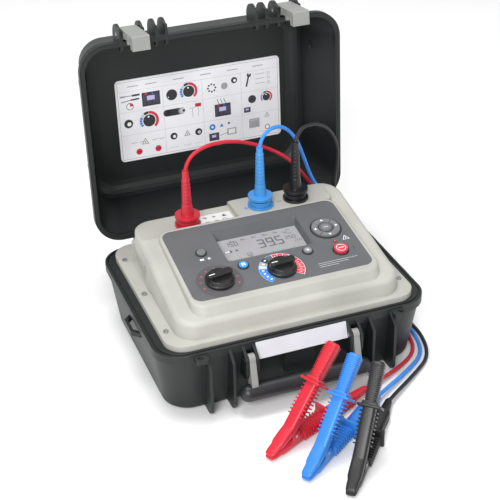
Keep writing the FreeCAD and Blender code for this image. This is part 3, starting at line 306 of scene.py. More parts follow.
def moulded(name, colour, roughness, grain=900.0, depth=0.00006, radius=0.0008, edge_tint=1.35, coat=0.0):
    """Moulded plastic: grain, mottled tone, soft edges that are a little paler."""
    paint = bpy.data.materials.new(name)
    paint.use_nodes = True
    tree = paint.node_tree
    shader = tree.nodes["Principled BSDF"]
    shader.inputs["Coat Weight"].default_value = coat
    shader.inputs["Coat Roughness"].default_value = 0.12
    surface = tree.nodes.new("ShaderNodeGroup")
    surface.node_tree = mould_grain
    surface.inputs["Scale"].default_value = grain
    rim = tree.nodes.new("ShaderNodeGroup")
    rim.node_tree = soft_edge
    rim.inputs["Radius"].default_value = radius
    tone = tree.nodes.new("ShaderNodeValToRGB")
    tone.color_ramp.elements[0].position = 0.3
    tone.color_ramp.elements[1].position = 0.7
    tone.color_ramp.elements[0].color = (*[part * 0.9 for part in colour], 1)
    tone.color_ramp.elements[1].color = (*[min(part * 1.08, 1) for part in colour], 1)
    worn = tree.nodes.new("ShaderNodeMix")
    worn.data_type = "RGBA"
    worn.inputs["B"].default_value = (*[min(part * edge_tint + 0.01, 1) for part in colour], 1)
    rough = tree.nodes.new("ShaderNodeMapRange")
    rough.inputs["To Min"].default_value = roughness - 0.07
    rough.inputs["To Max"].default_value = roughness + 0.07
    bump = tree.nodes.new("ShaderNodeBump")
    bump.inputs["Distance"].default_value = depth
    tree.links.new(surface.outputs["Tone"], tone.inputs["Fac"])
    tree.links.new(tone.outputs["Color"], worn.inputs["A"])
    tree.links.new(rim.outputs["Edge"], worn.inputs["Factor"])
    tree.links.new(worn.outputs["Result"], shader.inputs["Base Color"])
    tree.links.new(surface.outputs["Tone"], rough.inputs["Value"])
    tree.links.new(rough.outputs["Result"], shader.inputs["Roughness"])
    tree.links.new(surface.outputs["Height"], bump.inputs["Height"])
    tree.links.new(rim.outputs["Normal"], bump.inputs["Normal"])
    tree.links.new(bump.outputs["Normal"], shader.inputs["Normal"])
    return paint


def finish_nodes(paint, *names):
    """Give CAD parts their finish."""
    for name in names:
        part = frame["nodes"][name]
        for place in part.material_slots:
            place.material = paint


case_plastic = moulded("case polypropylene", (0.0085, 0.0115, 0.0115), 0.47, 1100, 0.00010, 0.0012, 1.7)
finish_nodes(case_plastic, "base_shell", "lid_shell", "strap_loops")
seal_rubber = moulded("seal rubber", (0.012, 0.013, 0.014), 0.6, 1500, 0.00003, 0.0003, 1.2)
finish_nodes(seal_rubber, "lid_seal")


# ---- Steel parts ----------------------------------------------------------------------
# Hinge, latch and handle pins, and the screws: bright zinc plate over steel
# with a fine mottle in tone and roughness.
def plated_steel():
    paint = bpy.data.materials.new("zinc plated steel")
    paint.use_nodes = True
    tree = paint.node_tree
    shader = tree.nodes["Principled BSDF"]
    shader.inputs["Metallic"].default_value = 1.0
    place = tree.nodes.new("ShaderNodeTexCoord")
    scuff = tree.nodes.new("ShaderNodeTexNoise")
    scuff.inputs["Scale"].default_value = 700
    scuff.inputs["Detail"].default_value = 5
    tone = tree.nodes.new("ShaderNodeValToRGB")
    tone.color_ramp.elements[0].color = (0.42, 0.43, 0.44, 1)
    tone.color_ramp.elements[1].color = (0.66, 0.66, 0.65, 1)
    rough = tree.nodes.new("ShaderNodeMapRange")
    rough.inputs["To Min"].default_value = 0.25
    rough.inputs["To Max"].default_value = 0.45
    tree.links.new(place.outputs["Object"], scuff.inputs["Vector"])
    tree.links.new(scuff.outputs["Fac"], tone.inputs["Fac"])
    tree.links.new(scuff.outputs["Fac"], rough.inputs["Value"])
    tree.links.new(tone.outputs["Color"], shader.inputs["Base Color"])
    tree.links.new(rough.outputs["Result"], shader.inputs["Roughness"])
    return paint


steel = plated_steel()
finish_nodes(steel, "hinge_pins", "handle_pins", "latch_pins", "clip_pins", "board_posts", "switch_domes",
             "housing_screws")
finish_nodes(moulded("blackened screw", (0.03, 0.03, 0.032), 0.35, 1500, 0.00002, 0.0006), "lid_screws")

# ---- Latches and handle ---------------------------------------------------------------
# Two pull-down latches and the handle's arms in pale grey acetal; the grip is
# black glass-filled nylon.
pale_acetal = moulded("pale acetal", (0.27, 0.275, 0.262), 0.42, 1400, 0.00003, 0.0012, 1.15)
finish_nodes(pale_acetal, "latch_left", "latch_right", "handle_arms")
black_nylon = moulded("black nylon", (0.016, 0.017, 0.019), 0.42, 1300, 0.00004, 0.0012, 1.8)
finish_nodes(black_nylon, "handle_grip", "side_inlet", "rotary_switches", "high_voltage_module")

# ---- Instrument housing -----------------------------------------------------------------
# Stepped top moulding in beige-grey ABS with a satin grain.
housing_plastic = moulded("beige housing", (0.405, 0.402, 0.366), 0.5, 1200, 0.00006, 0.0022, 1.05)
finish_nodes(housing_plastic, "panel_housing")
slate_film = moulded("slate fascia film", (0.098, 0.101, 0.107), 0.55, 2000, 0.00003, 0.0004, 1.1)
finish_nodes(slate_film, "fascia", "lcd_bezel")
finish_nodes(moulded("black collar", (0.018, 0.019, 0.021), 0.45, 1800, 0.00002, 0.0006), "key_rings")
finish_nodes(moulded("circuit board", (0.02, 0.11, 0.05), 0.4, 700, 0.00002, 0.0003), "main_board",
             "keypad_board")
finish_nodes(moulded("battery wrap", (0.03, 0.03, 0.035), 0.4, 600, 0.00002, 0.001), "battery_pack")
finish_nodes(moulded("display glass", (0.30, 0.30, 0.31), 0.3, 600, 0.00001, 0.0003), "lcd_module")
finish_nodes(moulded("display face", (0.33, 0.325, 0.335), 0.35, 600, 0.000005, 0.0003, 1.0, 0.5),
             "lcd_window")

# ---- Knobs and keys ---------------------------------------------------------------------
# Two black knobs with a bar grip; silicone keys in dark collars.
knob_plastic = moulded("black knob", (0.010, 0.010, 0.011), 0.3, 1500, 0.00002, 0.001, 2.0, 0.15)
finish_nodes(knob_plastic, "knob_function", "knob_range")
grey_key = moulded("grey key", (0.165, 0.169, 0.174), 0.45, 1600, 0.00002, 0.0010, 1.5)
finish_nodes(grey_key, "key_alarm", "key_light", "nav_middle", "nav_left", "nav_right", "nav_up", "nav_down")
finish_nodes(moulded("blue key", (0.05, 0.30, 0.70), 0.4, 1600, 0.00002, 0.0008, 1.1), "key_save")
finish_nodes(moulded("red key", (0.62, 0.04, 0.07), 0.4, 1600, 0.00002, 0.0015, 1.1), "key_test")
finish_nodes(moulded("status lens", (0.35, 0.02, 0.04), 0.15, 900, 0.00001, 0.0004, 1.1, 1.0), "status_led")

# ---- Printed marks ----------------------------------------------------------------------
# Screen-printed and pad-printed symbols, a tenth of a millimetre over their
# surface: plain pictograms, dial arcs and display segments, with no lettering.
# The white line along each knob's bar is a painted highlight, not a print.
INKS = {
    "white": (0.80, 0.80, 0.80), "ink": (0.03, 0.03, 0.035), "grey": (0.33, 0.33, 0.35),
    "pale": (0.55, 0.56, 0.60), "red": (0.62, 0.03, 0.06), "blue": (0.03, 0.17, 0.55),
    "sky": (0.16, 0.45, 0.86), "pink": (0.56, 0.07, 0.13), "lilac": (0.52, 0.48, 0.75),
    "segment": (0.10, 0.10, 0.11), "smoke": (0.075, 0.072, 0.075),
    "patch": (0.66, 0.66, 0.64), "dusk": (0.06, 0.055, 0.09),
}
INK_ORDER = list(INKS)


def ink_paint(name):
    colour = INKS[name]
    paint = bpy.data.materials.new("print " + name)
    paint.use_nodes = True
    tree = paint.node_tree
    shader = tree.nodes["Principled BSDF"]
    surface = tree.nodes.new("ShaderNodeGroup")
    surface.node_tree = mould_grain
    surface.inputs["Scale"].default_value = 1800
    tone = tree.nodes.new("ShaderNodeValToRGB")
    tone.color_ramp.elements[0].color = (*[part * 0.88 for part in colour], 1)
    tone.color_ramp.elements[1].color = (*[min(part * 1.1, 1) for part in colour], 1)
    tree.links.new(surface.outputs["Height"], tone.inputs["Fac"])
    tree.links.new(tone.outputs["Color"], shader.inputs["Base Color"])
    shader.inputs["Roughness"].default_value = 0.45
    return paint


ink_paints = [ink_paint(name) for name in INK_ORDER]


class Print:
    """Flat marks in millimetres on a plane, made one piece."""

    def __init__(self, name, place):
        self.name = name
        self.place = place
        self.mesh = bmesh.new()

    def tint(self, faces, ink):
        for face in faces:
            face.material_index = INK_ORDER.index(ink)

    def disc(self, x, y, r, ink, lift=0.0):
        made = bmesh.ops.create_circle(self.mesh, cap_ends=True, segments=28, radius=r,
                                       matrix=Matrix.Translation((x, y, lift)))
        self.tint({face for vert in made["verts"] for face in vert.link_faces}, ink)

    def arc(self, x, y, inner, outer, start, end, ink, lift=0.0):
        ray = Vector((math.cos(math.radians(start)), math.sin(math.radians(start)), 0))
        centre = Vector((x, y, lift))
        ends = [self.mesh.verts.new(centre + ray * inner), self.mesh.verts.new(centre + ray * outer)]
        edge = self.mesh.edges.new(ends)
        steps = max(3, int(abs(end - start) / 8))
        before = set(self.mesh.faces)
        bmesh.ops.spin(self.mesh, geom=[edge] + ends, cent=centre, axis=(0, 0, 1),
                       angle=math.radians(end - start), steps=steps, use_merge=abs(end - start) >= 360)
        made = set(self.mesh.faces) - before
        bmesh.ops.recalc_face_normals(self.mesh, faces=list(made))
        self.tint(made, ink)

    def box(self, x0, x1, y0, y1, ink, lift=0.0, turned=0.0):
        centre = Matrix.Translation(((x0 + x1) / 2, (y0 + y1) / 2, lift))
        size = Matrix.Diagonal((abs(x1 - x0), abs(y1 - y0), 1, 1))
        spin = Matrix.Rotation(math.radians(turned), 4, "Z")
        made = bmesh.ops.create_grid(self.mesh, x_segments=1, y_segments=1, size=0.5,
                                     matrix=centre @ spin @ size)
        self.tint({face for vert in made["verts"] for face in vert.link_faces}, ink)

    def bar(self, x0, y0, x1, y1, width, ink, lift=0.0):
        length = math.hypot(x1 - x0, y1 - y0)
        middle_x, middle_y = (x0 + x1) / 2, (y0 + y1) / 2
        self.box(middle_x - length / 2, middle_x + length / 2, middle_y - width / 2, middle_y + width / 2,
                 ink, lift, math.degrees(math.atan2(y1 - y0, x1 - x0)))

    def triangle(self, x, y, r, ink, lift=0.0, turned=90.0):
        turn = Matrix.Translation((x, y, lift)) @ Matrix.Rotation(math.radians(turned - 90), 4, "Z")
        made = bmesh.ops.create_circle(self.mesh, cap_ends=True, segments=3, radius=r, matrix=turn)
        self.tint({face for vert in made["verts"] for face in vert.link_faces}, ink)

    def digit(self, x, y, height, number, ink, lift=0.0):
        """Seven display segments."""
        lit = {0: "abcdef", 1: "bc", 2: "abged", 3: "abgcd", 4: "fgbc", 5: "afgcd", 6: "afgedc",
               7: "abc", 8: "abcdefg", 9: "abcdfg"}[number]
        half, wide, stroke = height / 2, height * 0.52, height * 0.13
        bars = {"a": (0, height, wide, height), "g": (0, half, wide, half), "d": (0, 0, wide, 0),
                "f": (0, half, 0, height), "e": (0, 0, 0, half), "b": (wide, half, wide, height),
                "c": (wide, 0, wide, half)}
        for name in lit:
            x0, y0, x1, y1 = bars[name]
            self.bar(x + x0, y + y0, x + x1, y + y1, stroke, ink, lift)

    def done(self, body):
        data = bpy.data.meshes.new(self.name)
        bmesh.ops.recalc_face_normals(self.mesh, faces=self.mesh.faces)
        for face in self.mesh.faces:
            if face.normal.z < 0:
                face.normal_flip()
        bmesh.ops.transform(self.mesh, matrix=self.place @ Matrix.Scale(0.001, 4), verts=self.mesh.verts)
        self.mesh.to_mesh(data)
        self.mesh.free()
        for paint in ink_paints:
            data.materials.append(paint)
        piece = bpy.data.objects.new(self.name, data)
        bpy.context.collection.objects.link(piece)
        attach(piece, body)
        return piece


# The fascia's plane, found from the range knob's shaft.
RANGE_KNOB = (3.5, -70.0)
FUNCTION_KNOB = (-78.0, -67.5)
panel_up = Vector(joints["knob_range_turn"]["axis"])
panel_back = panel_up.cross(Vector((1, 0, 0)))
panel_zero = Vector(joints["knob_range_turn"]["pos_m"]) - Vector((RANGE_KNOB[0], 0, 0)) * 0.001
panel_zero = panel_zero - panel_back * RANGE_KNOB[1] * 0.001


def panel_plane(lift):
    """Place of a plane that many millimetres over the fascia."""
    place = Matrix((Vector((1, 0, 0)), panel_back, panel_up)).transposed().to_4x4()
    place.translation = panel_zero + panel_up * lift * 0.001
    return place


def dial_print():
    """Dial arcs and symbols on the fascia."""
    art = Print("fascia_print", panel_plane(0.1))
    x, y = RANGE_KNOB
    art.arc(x, y, 19.0, 29.3, -40, 98, "white")
    for turn_number in range(9):
        start = -39 + 15.2 * turn_number
        art.arc(x, y, 19.0, 28.7, start, start + 14.0, "red", 0.04)
        angle = math.radians(start + 7)
        art.bar(x + 22.4 * math.cos(angle), y + 22.4 * math.sin(angle), x + 25.6 * math.cos(angle),
                y + 25.6 * math.sin(angle), 0.9, "white", 0.08)
    art.arc(x, y, 28.6, 29.4, 98, 122, "sky")
    art.arc(x, y, 21.0, 29.4, 117, 134, "ink", 0.04)
    art.arc(x, y, 24.6, 26.6, 122, 129, "white", 0.08)
    art.arc(x, y, 19.0, 29.4, 135, 224, "sky")
    for turn_number in range(2):
        start = 136.5 + 14.5 * turn_number
        art.arc(x, y, 19.0, 28.8, start, start + 12.5, "pale" if turn_number else "grey", 0.04)
        art.arc(x, y, 22.4, 26.2, start + 4, start + 8, "white", 0.08)
    for turn_number in range(4):
        start = 166 + 14.6 * turn_number
        art.arc(x, y, 19.0, 28.6, start, start + 13, "blue", 0.04)
        art.arc(x, y, 22.6, 25.8, start + 4, start + 9, "white", 0.08)
    x, y = FUNCTION_KNOB
    art.disc(x, y, 29.5, "smoke")
    for turn_number in range(9):
        angle = math.radians(-24 + 28 * turn_number)
        art.bar(x + 22.6 * math.cos(angle), y + 22.6 * math.sin(angle), x + 25.4 * math.cos(angle),
                y + 25.4 * math.sin(angle), 1.9 - 0.7 * (turn_number % 2), "pink", 0.05)
    art.box(-88, -85.6, -24.5, -21, "white")
    art.triangle(-84.2, -22.8, 2.6, "white", 0, 180)
    art.disc(-76, -22.8, 1.5, "white")
    for turn_number in range(8):
        angle = math.radians(45 * turn_number)
        art.bar(-76 + 2.1 * math.cos(angle), -22.8 + 2.1 * math.sin(angle), -76 + 3.1 * math.cos(angle),
                -22.8 + 3.1 * math.sin(angle), 0.4, "white")
    art.triangle(104.5, -38.6, 5.6, "white")
    art.triangle(104.5, -38.6, 4.1, "smoke", 0.04)
    art.box(104.1, 104.9, -39.6, -36.6, "white", 0.08)
    art.arc(101.5, -59.6, 5.2, 6.0, -35, 35, "ink")
    for row in range(3):
        art.box(50, 104 - 14 * row, -76.6 - 3.4 * row, -76.0 - 3.4 * row, "pale")
    art.done("case")


NAV_SPOT = (87.7, -13.0)


def key_symbols():
    """Small white signs on the keys; each rides on its own key."""
    keys = {"key_save": (-40.3, -49.6, 2.6), "key_light": (47.4, -48.5, 2.6),
            "key_test": (88.4, -59.6, 4.5), "nav_middle": (*NAV_SPOT, 3.0)}
    nav_x, nav_y = NAV_SPOT
    for name, (x, y, lift) in keys.items():
        art = Print(name + "_sign", panel_plane(lift + 0.08))
        if name == "key_save":
            art.box(x - 2.4, x + 2.4, y - 2.4, y + 2.4, "white")
            art.box(x - 1.3, x + 1.3, y - 2.0, y - 0.2, "sky", 0.04)
        if name == "key_light":
            art.disc(x, y, 1.5, "white")
            for turn_number in range(8):
                angle = math.radians(45 * turn_number)
                art.bar(x + 2.3 * math.cos(angle), y + 2.3 * math.sin(angle), x + 3.8 * math.cos(angle),
                        y + 3.8 * math.sin(angle), 0.55, "white")
        if name == "key_test":
            art.arc(x, y, 5.6, 6.4, 0, 360, "white")
            art.box(x - 3.4, x + 3.4, y - 0.6, y + 0.6, "white", 0.02)
        if name == "nav_middle":
            art.arc(x, y, 6.9, 7.7, 0, 360, "ink")
            art.box(x - 3.2, x + 3.2, y - 0.6, y + 0.6, "pale", 0.02)
        art.done(name)
    for name, angle in (("nav_right", 0), ("nav_up", 90), ("nav_left", 180), ("nav_down", 270)):
        art = Print(name + "_sign", panel_plane(2.48))
        art.arc(nav_x, nav_y, 18.3, 19.1, angle - 42, angle + 42, "ink")
        art.arc(nav_x, nav_y, 10.0, 10.8, angle - 38, angle + 38, "ink")
        x = nav_x + 14.4 * math.cos(math.radians(angle))
        y = nav_y + 14.4 * math.sin(math.radians(angle))
        art.triangle(x, y, 2.4, "white", 0, angle)
        art.done(name)


# Painted highlight: a white line on top of each knob's bar stands in for the gloss the bar catches.
def knob_painted_highlight(name, spot, points_at):
    """Painted highlight: a white line along the knob's bar grip, standing in for the light the bar catches.
    """
    art = Print(name + "_index", panel_plane(14.1))
    x, y = spot
    angle = math.radians(points_at)
    art.bar(x + 7 * math.cos(angle), y + 7 * math.sin(angle), x + 15 * math.cos(angle),
            y + 15 * math.sin(angle), 1.3, "white")
    art.done(name)


def display_print():
    """Segments, bar scale and frame signs of the display."""
    art = Print("display_print", panel_plane(-9.9))
    art.digit(-2, -12, 15, 3, "segment")
    art.digit(10.5, -12, 15, 9, "segment")
    art.digit(23, -12, 15, 5, "segment")
    art.disc(20.6, -12.4, 1.0, "segment")
    for place, number in enumerate((1, 5, 0)):
        art.digit(-44 + 6.2 * place, 2, 7.5, number, "segment")
        art.digit(36 + 5 * place, -6, 6, (2, 5, 0)[place], "segment")
    for place, number in enumerate((1, 2)):
        art.digit(-26 + 6 * place, -24, 7, number, "segment")
    for tick in range(34):
        art.box(-48 + 2.9 * tick, -47.2 + 2.9 * tick, -26.5, -24.5 if tick % 5 else -23.0, "segment")
    art.box(-50, -40, -10, -5, "segment")
    art.box(-49.2, -42.5, -9.2, -5.8, "pale", 0.05)
    art.box(-40, -39, -8.6, -6.4, "segment")
    art.triangle(-33, -7.5, 3, "segment")
    art.arc(44, 8, 3.4, 4.2, 30, 330, "segment")
    art.bar(36, 10, 40, 6, 0.8, "segment")
    for row in range(5):
        art.box(-36 + 15 * row, -30 + 15 * row, 10.2, 11.2, "segment")
        art.box(-36 + 15 * row, -33 + 15 * row, 12.2, 12.8, "segment")
    for row in range(4):
        art.bar(46 + 2.6 * row, -14, 47.6 + 2.6 * row, -9.6, 0.7, "segment")
    art.box(-53.4, 56.4, 16.0, 16.4, "grey")
    art.box(-53.4, 56.4, -28.6, -28.2, "grey")
    art.done("case")


dial_print()
key_symbols()
# Painted highlights on the bars of the function and range knobs.
knob_painted_highlight("knob_function", FUNCTION_KNOB, 188)
knob_painted_highlight("knob_range", RANGE_KNOB, 184)
display_print()


def strip_print():
    """Plus, minus and guard signs beside the sockets."""
    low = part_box("socket_red")
    centre_x = (low[0][0] + low[1][0]) / 2 * 1000
    centre_y = (low[0][1] + low[1][1]) / 2 * 1000
    art = Print("socket_print_low", Matrix.Translation((0, 0, 0.1501)))
    art.box(centre_x + 14, centre_x + 62, centre_y - 12, centre_y + 14, "patch", -0.04)
    for row in (0, 1):
        x = centre_x + 26 + 12 * row
        art.box(x - 3, x + 3, centre_y + 6, centre_y + 7, "ink")
        art.box(x - 0.5, x + 0.5, centre_y + 3.5, centre_y + 9.5, "ink")
        art.box(x - 3, x + 3, centre_y - 5, centre_y - 4, "ink")
    art.triangle(centre_x + 52, centre_y + 5, 4, "ink")
    art.arc(centre_x + 50, centre_y - 5, 2.4, 3.2, 0, 360, "ink")
    art.done("case")
    art = Print("socket_print_high", Matrix.Translation((0, 0, 0.1571)))
    art.box(6, 7, centre_y - 4, centre_y + 4, "blue")
    art.box(2.5, 10.5, centre_y - 1, centre_y, "blue")
    art.box(50, 57, centre_y - 0.5, centre_y + 0.5, "ink")
    art.done("case")


strip_print()


# ---- Instruction card in the lid ----------------------------------------------------------
# White polypropylene card, 242 x 120 mm, stuck to the lid's inner face, with a
# grid of pictograms.
card_white = moulded("printed card", (0.86, 0.86, 0.89), 0.4, 1600, 0.00001, 0.0004, 1.0, 0.2)
finish_nodes(card_white, "lid_card")
finish_nodes(moulded("name strip", (0.60, 0.60, 0.64), 0.4, 1600, 0.00001, 0.0005, 1.0, 0.2), "front_label")
LID_OPEN = 93.1
hinge = Vector(joints["lid_hinge"]["pos_m"])
opened = Matrix.Translation(hinge) @ Matrix.Rotation(math.radians(-LID_OPEN), 4, "X")
opened = opened @ Matrix.Translation(-hinge)


def card_dial(art, x, y, r):
    art.disc(x, y, r * 0.64, "ink")
    art.disc(x - r * 0.05, y + r * 0.4, r * 0.1, "white", 0.05)
    for row in range(4):
        art.arc(x, y, r * 0.72, r, 152 + 17 * row, 166 + 17 * row, "blue")
    art.arc(x, y, r * 0.72, r, 128, 149, "pale")
    art.arc(x, y, r * 0.72, r, 92, 125, "ink")
    art.arc(x, y, r * 0.72, r, -50, 90, "red")


def card_tester(art, x, y, size):
    art.box(x - size, x + size, y - size * 0.8, y + size * 0.75, "ink")
    art.box(x - size * 0.92, x + size * 0.92, y - size * 0.6, y + size * 0.5, "dusk", 0.04)
    art.box(x - size * 0.45, x + size * 0.4, y - size * 0.15, y + size * 0.35, "lilac", 0.08)
    art.disc(x - size * 0.55, y + size * 0.6, size * 0.12, "red", 0.08)
    art.disc(x + size * 0.2, y + size * 0.6, size * 0.1, "blue", 0.08)
    art.disc(x + size * 0.5, y + size * 0.6, size * 0.1, "dusk", 0.08)
    for side in (-0.5, 0.1):
        art.disc(x + size * side, y - size * 0.4, size * 0.14, "ink", 0.08)


def card_warning(art, x, y, r):
    art.triangle(x, y, r, "ink")
    art.triangle(x, y, r * 0.76, "white", 0.04)
    art.disc(x, y, r * 0.16, "ink", 0.08)


def card_sign(art, x, y, r, inner):
    art.disc(x, y, r, "ink")
    art.disc(x + r * 0.15, y - r * 0.1, r * 0.45, inner, 0.04)


def card_print():
    flip = Matrix(((1, 0, 0, 0), (0, -1, 0, 0), (0, 0, -1, 0.18938), (0, 0, 0, 1)))
    art = Print("card_print", opened @ flip)
    left, right, low, high = -110.0, 126.0, -66.0, 48.0
    columns = (left, -46.0, 12.0, 70.0, right)
    rows = (low, -30.0, 4.0, 34.0, high)
    for y in (low, high):
        art.box(left, right, y - 0.25, y + 0.25, "grey")
    for x in (left, right):
        art.box(x - 0.25, x + 0.25, low, high, "grey")
    for y in rows[1:4]:
        art.box(left, right, y - 0.25, y + 0.25, "pale")
    for x in columns[1:4]:
        art.box(x - 0.25, x + 0.25, low, rows[3], "pale")
    for x in (-96, -70, -30, 10, 50, 88):
        art.box(x, x + 16, 40.2, 41.4, "grey")
    art.box(-106, -90, 27, 27.8, "ink")
    art.box(-90, -79, 26, 28.8, "ink")
    art.box(-107, -100, 26.2, 28.6, "grey")
    art.bar(-106, 19.4, -92, 21.2, 1.0, "ink")
    art.bar(-92, 21.2, -80, 21.8, 2.2, "ink")
    art.arc(-94, 12, 4.4, 5.2, 0, 360, "ink")
    art.arc(-94, 12, 0.1, 4.4, 0, 90, "red")
    card_tester(art, -63, 19, 13)
    art.disc(-33, 19, 8, "ink")
    art.disc(-38, 16, 0.9, "white", 0.05)
    card_dial(art, -8, 20, 13)
    for turn_number in range(8):
        angle = math.radians(45 * turn_number)
        art.disc(26 + 5.5 * math.cos(angle), 19 + 5.5 * math.sin(angle), 1.4, "ink")
    art.disc(45, 19, 5, "grey")
    card_sign(art, 60, 25, 4.6, "white")
    art.bar(78, 12, 82, 28, 2.4, "ink")
    art.disc(82.5, 29, 3.2, "ink")
    art.disc(83, 31, 1.4, "white", 0.05)
    for row in range(3):
        art.box(92, 106, 28 - 7 * row, 28.7 - 7 * row, "grey")
        art.arc(112, 28 - 7 * row, 1.6, 2.2, 0, 360, "grey")
    card_sign(art, -98, -13, 6.4, "white")
    card_dial(art, -68, -13, 14)
    art.box(-42, -22, -12, -2, "ink")
    art.disc(-42, -7, 5, "ink")
    for ring, ink in ((5.0, "grey"), (3.6, "pale"), (2.0, "ink")):
        art.disc(-22 + 7 - ring, -7, ring, ink, 0.05 * (6 - ring))
    art.box(-8, 0, -6, -5.4, "grey")
    art.box(-4.3, -3.7, -20, -6, "grey")
    art.box(0, 9, -5, 0.4, "red", 0.05)
    art.box(1.2, 7.8, -2.9, -1.9, "ink", 0.1)
    art.box(4.2, 4.8, -20, -5, "grey")
    card_tester(art, 41, -16, 12)
    for row, ink in enumerate(("ink", "blue", "ink")):
        art.bar(36 + 5 * row, -7, 33 + 5 * row, 1, 0.8, ink)
    art.disc(86, -8, 6, "ink")
    card_dial(art, 108, -8, 9)
    card_tester(art, 78, -23, 5)
    card_warning(art, -76, -44, 6)
    for x in (-96, -84, -66, -56):
        art.box(x, x + 8, -43, -42.2, "grey")
    for x in (-86, -58):
        art.disc(x, -57, 4.6, "red")
        art.box(x - 2.8, x + 2.8, -57.6, -56.4, "ink", 0.05)
    card_sign(art, -34, -43, 5.2, "white")
    card_warning(art, -14, -43, 5.4)
    card_sign(art, 3, -43, 5.2, "pale")
    art.disc(24, -40, 4.6, "blue")
    art.disc(24, -40, 1.8, "white", 0.05)
    art.triangle(38, -40, 3.4, "blue")
    art.disc(49, -38, 1.6, "ink")
    card_tester(art, 26, -55, 7.5)
    art.box(46, 60, -56, -46, "grey")
    art.box(48, 58, -54.4, -47.6, "white", 0.05)
    art.bar(35, -55, 46, -52, 0.6, "ink")
    art.box(80, 96, -52, -38, "grey")
    art.box(82, 94, -41, -40, "pale", 0.05)
    card_warning(art, 108, -36, 4.6)
    art.arc(108, -54, 3.2, 4.0, 0, 360, "ink")
    for x, y in ((96, -60), (-40, -60), (-20, -60), (-4, -60)):
        art.box(x, x + 12, y, y + 0.7, "pale")
    art.done("lid")


card_print()


# ---- Sockets and plugs -----------------------------------------------------------------------
# Colour-coded nylon: a collar on the panel and a shrouded plug with a ribbed,
# tapering sleeve.
PLUG_COLOUR = {"red": (0.50, 0.012, 0.03), "blue": (0.05, 0.27, 0.64), "black": (0.009, 0.009, 0.010)}
for colour, tint in PLUG_COLOUR.items():
    nylon = moulded("plug nylon " + colour, tint, 0.36, 1500, 0.00003, 0.0010, 1.3, 0.1)
    finish_nodes(nylon, "socket_" + colour, "plug_" + colour)


# ---- Clips -------------------------------------------------------------------------------------
# Large insulated crocodile clips. Each half is a nylon shell moulded in one: a
# closed nose, a comb of fins, a guard flange and a finely grooved handle. The
# lower half lies on the floor and its lead enters through a tapering sleeve.
CLIP_PLACE = {
    "red": (-0.088, -0.248, 24.4),
    "blue": (-0.0628, -0.2977, 35.8),
    "black": (-0.0268, -0.3411, 49.3)}
CLIP_COLOUR = {"red": (0.56, 0.012, 0.03), "blue": (0.02, 0.19, 0.62), "black": (0.008, 0.008, 0.009)}
ARM_RISE = 47.0
ARM_START = (34.0, 23.0)
ARM_HEIGHT = 8.5
HANDLE_LENGTH = 54.0
LOWER_END = 150.0
UPPER_LENGTH = 117.5
PIVOT_U = 40
RING_SIDES = 28


def edges_of(made):
    """Each edge of the new vertices once, in the same order on every run."""
    return list(dict.fromkeys(edge for vert in made["verts"] for edge in vert.link_edges))


def shell_ring(shell, u, z, lean, half_width, half_thick, squareness=3.2):
    """Rounded cross-section of a clip half; lean is the tilt of its path."""
    made = bmesh.ops.create_circle(shell, segments=RING_SIDES, radius=1.0)
    across = Vector((0, 1, 0))
    upward = Vector((-math.sin(math.radians(lean)), 0, math.cos(math.radians(lean))))
    for vert in made["verts"]:
        angle = math.atan2(vert.co.y, vert.co.x)
        wide = math.copysign(abs(math.cos(angle)) ** (2 / squareness), math.cos(angle))
        tall = math.copysign(abs(math.sin(angle)) ** (2 / squareness), math.sin(angle))
        vert.co = Vector((u, 0, z)) + across * wide * half_width + upward * tall * half_thick
    return edges_of(made)


def shell_body(shell, sections):
    """Skin through the sections, closed at both ends."""
    rings = [shell_ring(shell, *section) for section in sections]
    for near, far in zip(rings, rings[1:]):
        bmesh.ops.bridge_loops(shell, edges=near + far)
    for end in (rings[0], rings[-1]):
        bmesh.ops.contextual_create(shell, geom=end)


def cross_plate(shell, u0, u1, half, low, high, round_by):
    """Plate across a clip half, with softened edges."""
    size = Matrix.Diagonal((u1 - u0, 2 * half, high - low, 1))
    place = Matrix.Translation(((u0 + u1) / 2, 0, (low + high) / 2))
    made = bmesh.ops.create_cube(shell, size=1.0, matrix=place @ size)
    bmesh.ops.bevel(shell, geom=edges_of(made), offset=round_by, offset_type="OFFSET", segments=2,
                    profile=0.5, affect="EDGES", clamp_overlap=True, material=-1)


def grooved_arm(shell, length, guard_low):
    """Fins, guard and handle along +u from the pivot, inner face up, mid height 0."""
    guard = length - HANDLE_LENGTH
    shell_body(shell, [
        (3, 0, 0, 8.2, 6.3, 4), (guard - 1, 0, 0, 7.8, 6.3, 4), (guard + 2, 0, 0, 8.0, 6.4, 4),
        (guard + 7, 0, 0, 7.0, 5.9, 3), (length - 6, 0, 0, 8.2, 6.3, 3), (length - 2, 0, 0, 7.9, 6.0, 3),
        (length - 0.5, 0, 0, 6.9, 5.0, 3), (length, 0, 0, 5.6, 3.8, 3)])
    cross_plate(shell, guard, guard + 3.4, 14.2, guard_low, 15.0, 1.3)
    cross_plate(shell, guard + 2.5, guard + 7.5, 9.6, -6.8, 8.6, 1.6)
    for row in range(9):
        u = guard - 5.4 - 4.7 * row
        cross_plate(shell, u, u + 1.8, 10.5, -4.6, 7.8, 0.6)
    for row in range(17):
        u = guard + 9.6 + 2.5 * row
        swell = 0.07 * row
        cross_plate(shell, u, u + 1.25, 7.25 + swell, -6.1 - 0.03 * row, 6.1 + 0.03 * row, 0.4)


def pivot_lug(shell, side):
    """Ear of the lower half, beside the pivot pin."""
    size = Matrix.Diagonal((12.4, 2.1, 13.0, 1))
    place = Matrix.Translation((PIVOT_U, side * 7.3, 15))
    made = bmesh.ops.create_cube(shell, size=1.0, matrix=place @ size)
    bmesh.ops.bevel(shell, geom=edges_of(made), offset=0.9, offset_type="OFFSET", segments=3,
                    profile=0.5, affect="EDGES", clamp_overlap=True, material=-1)


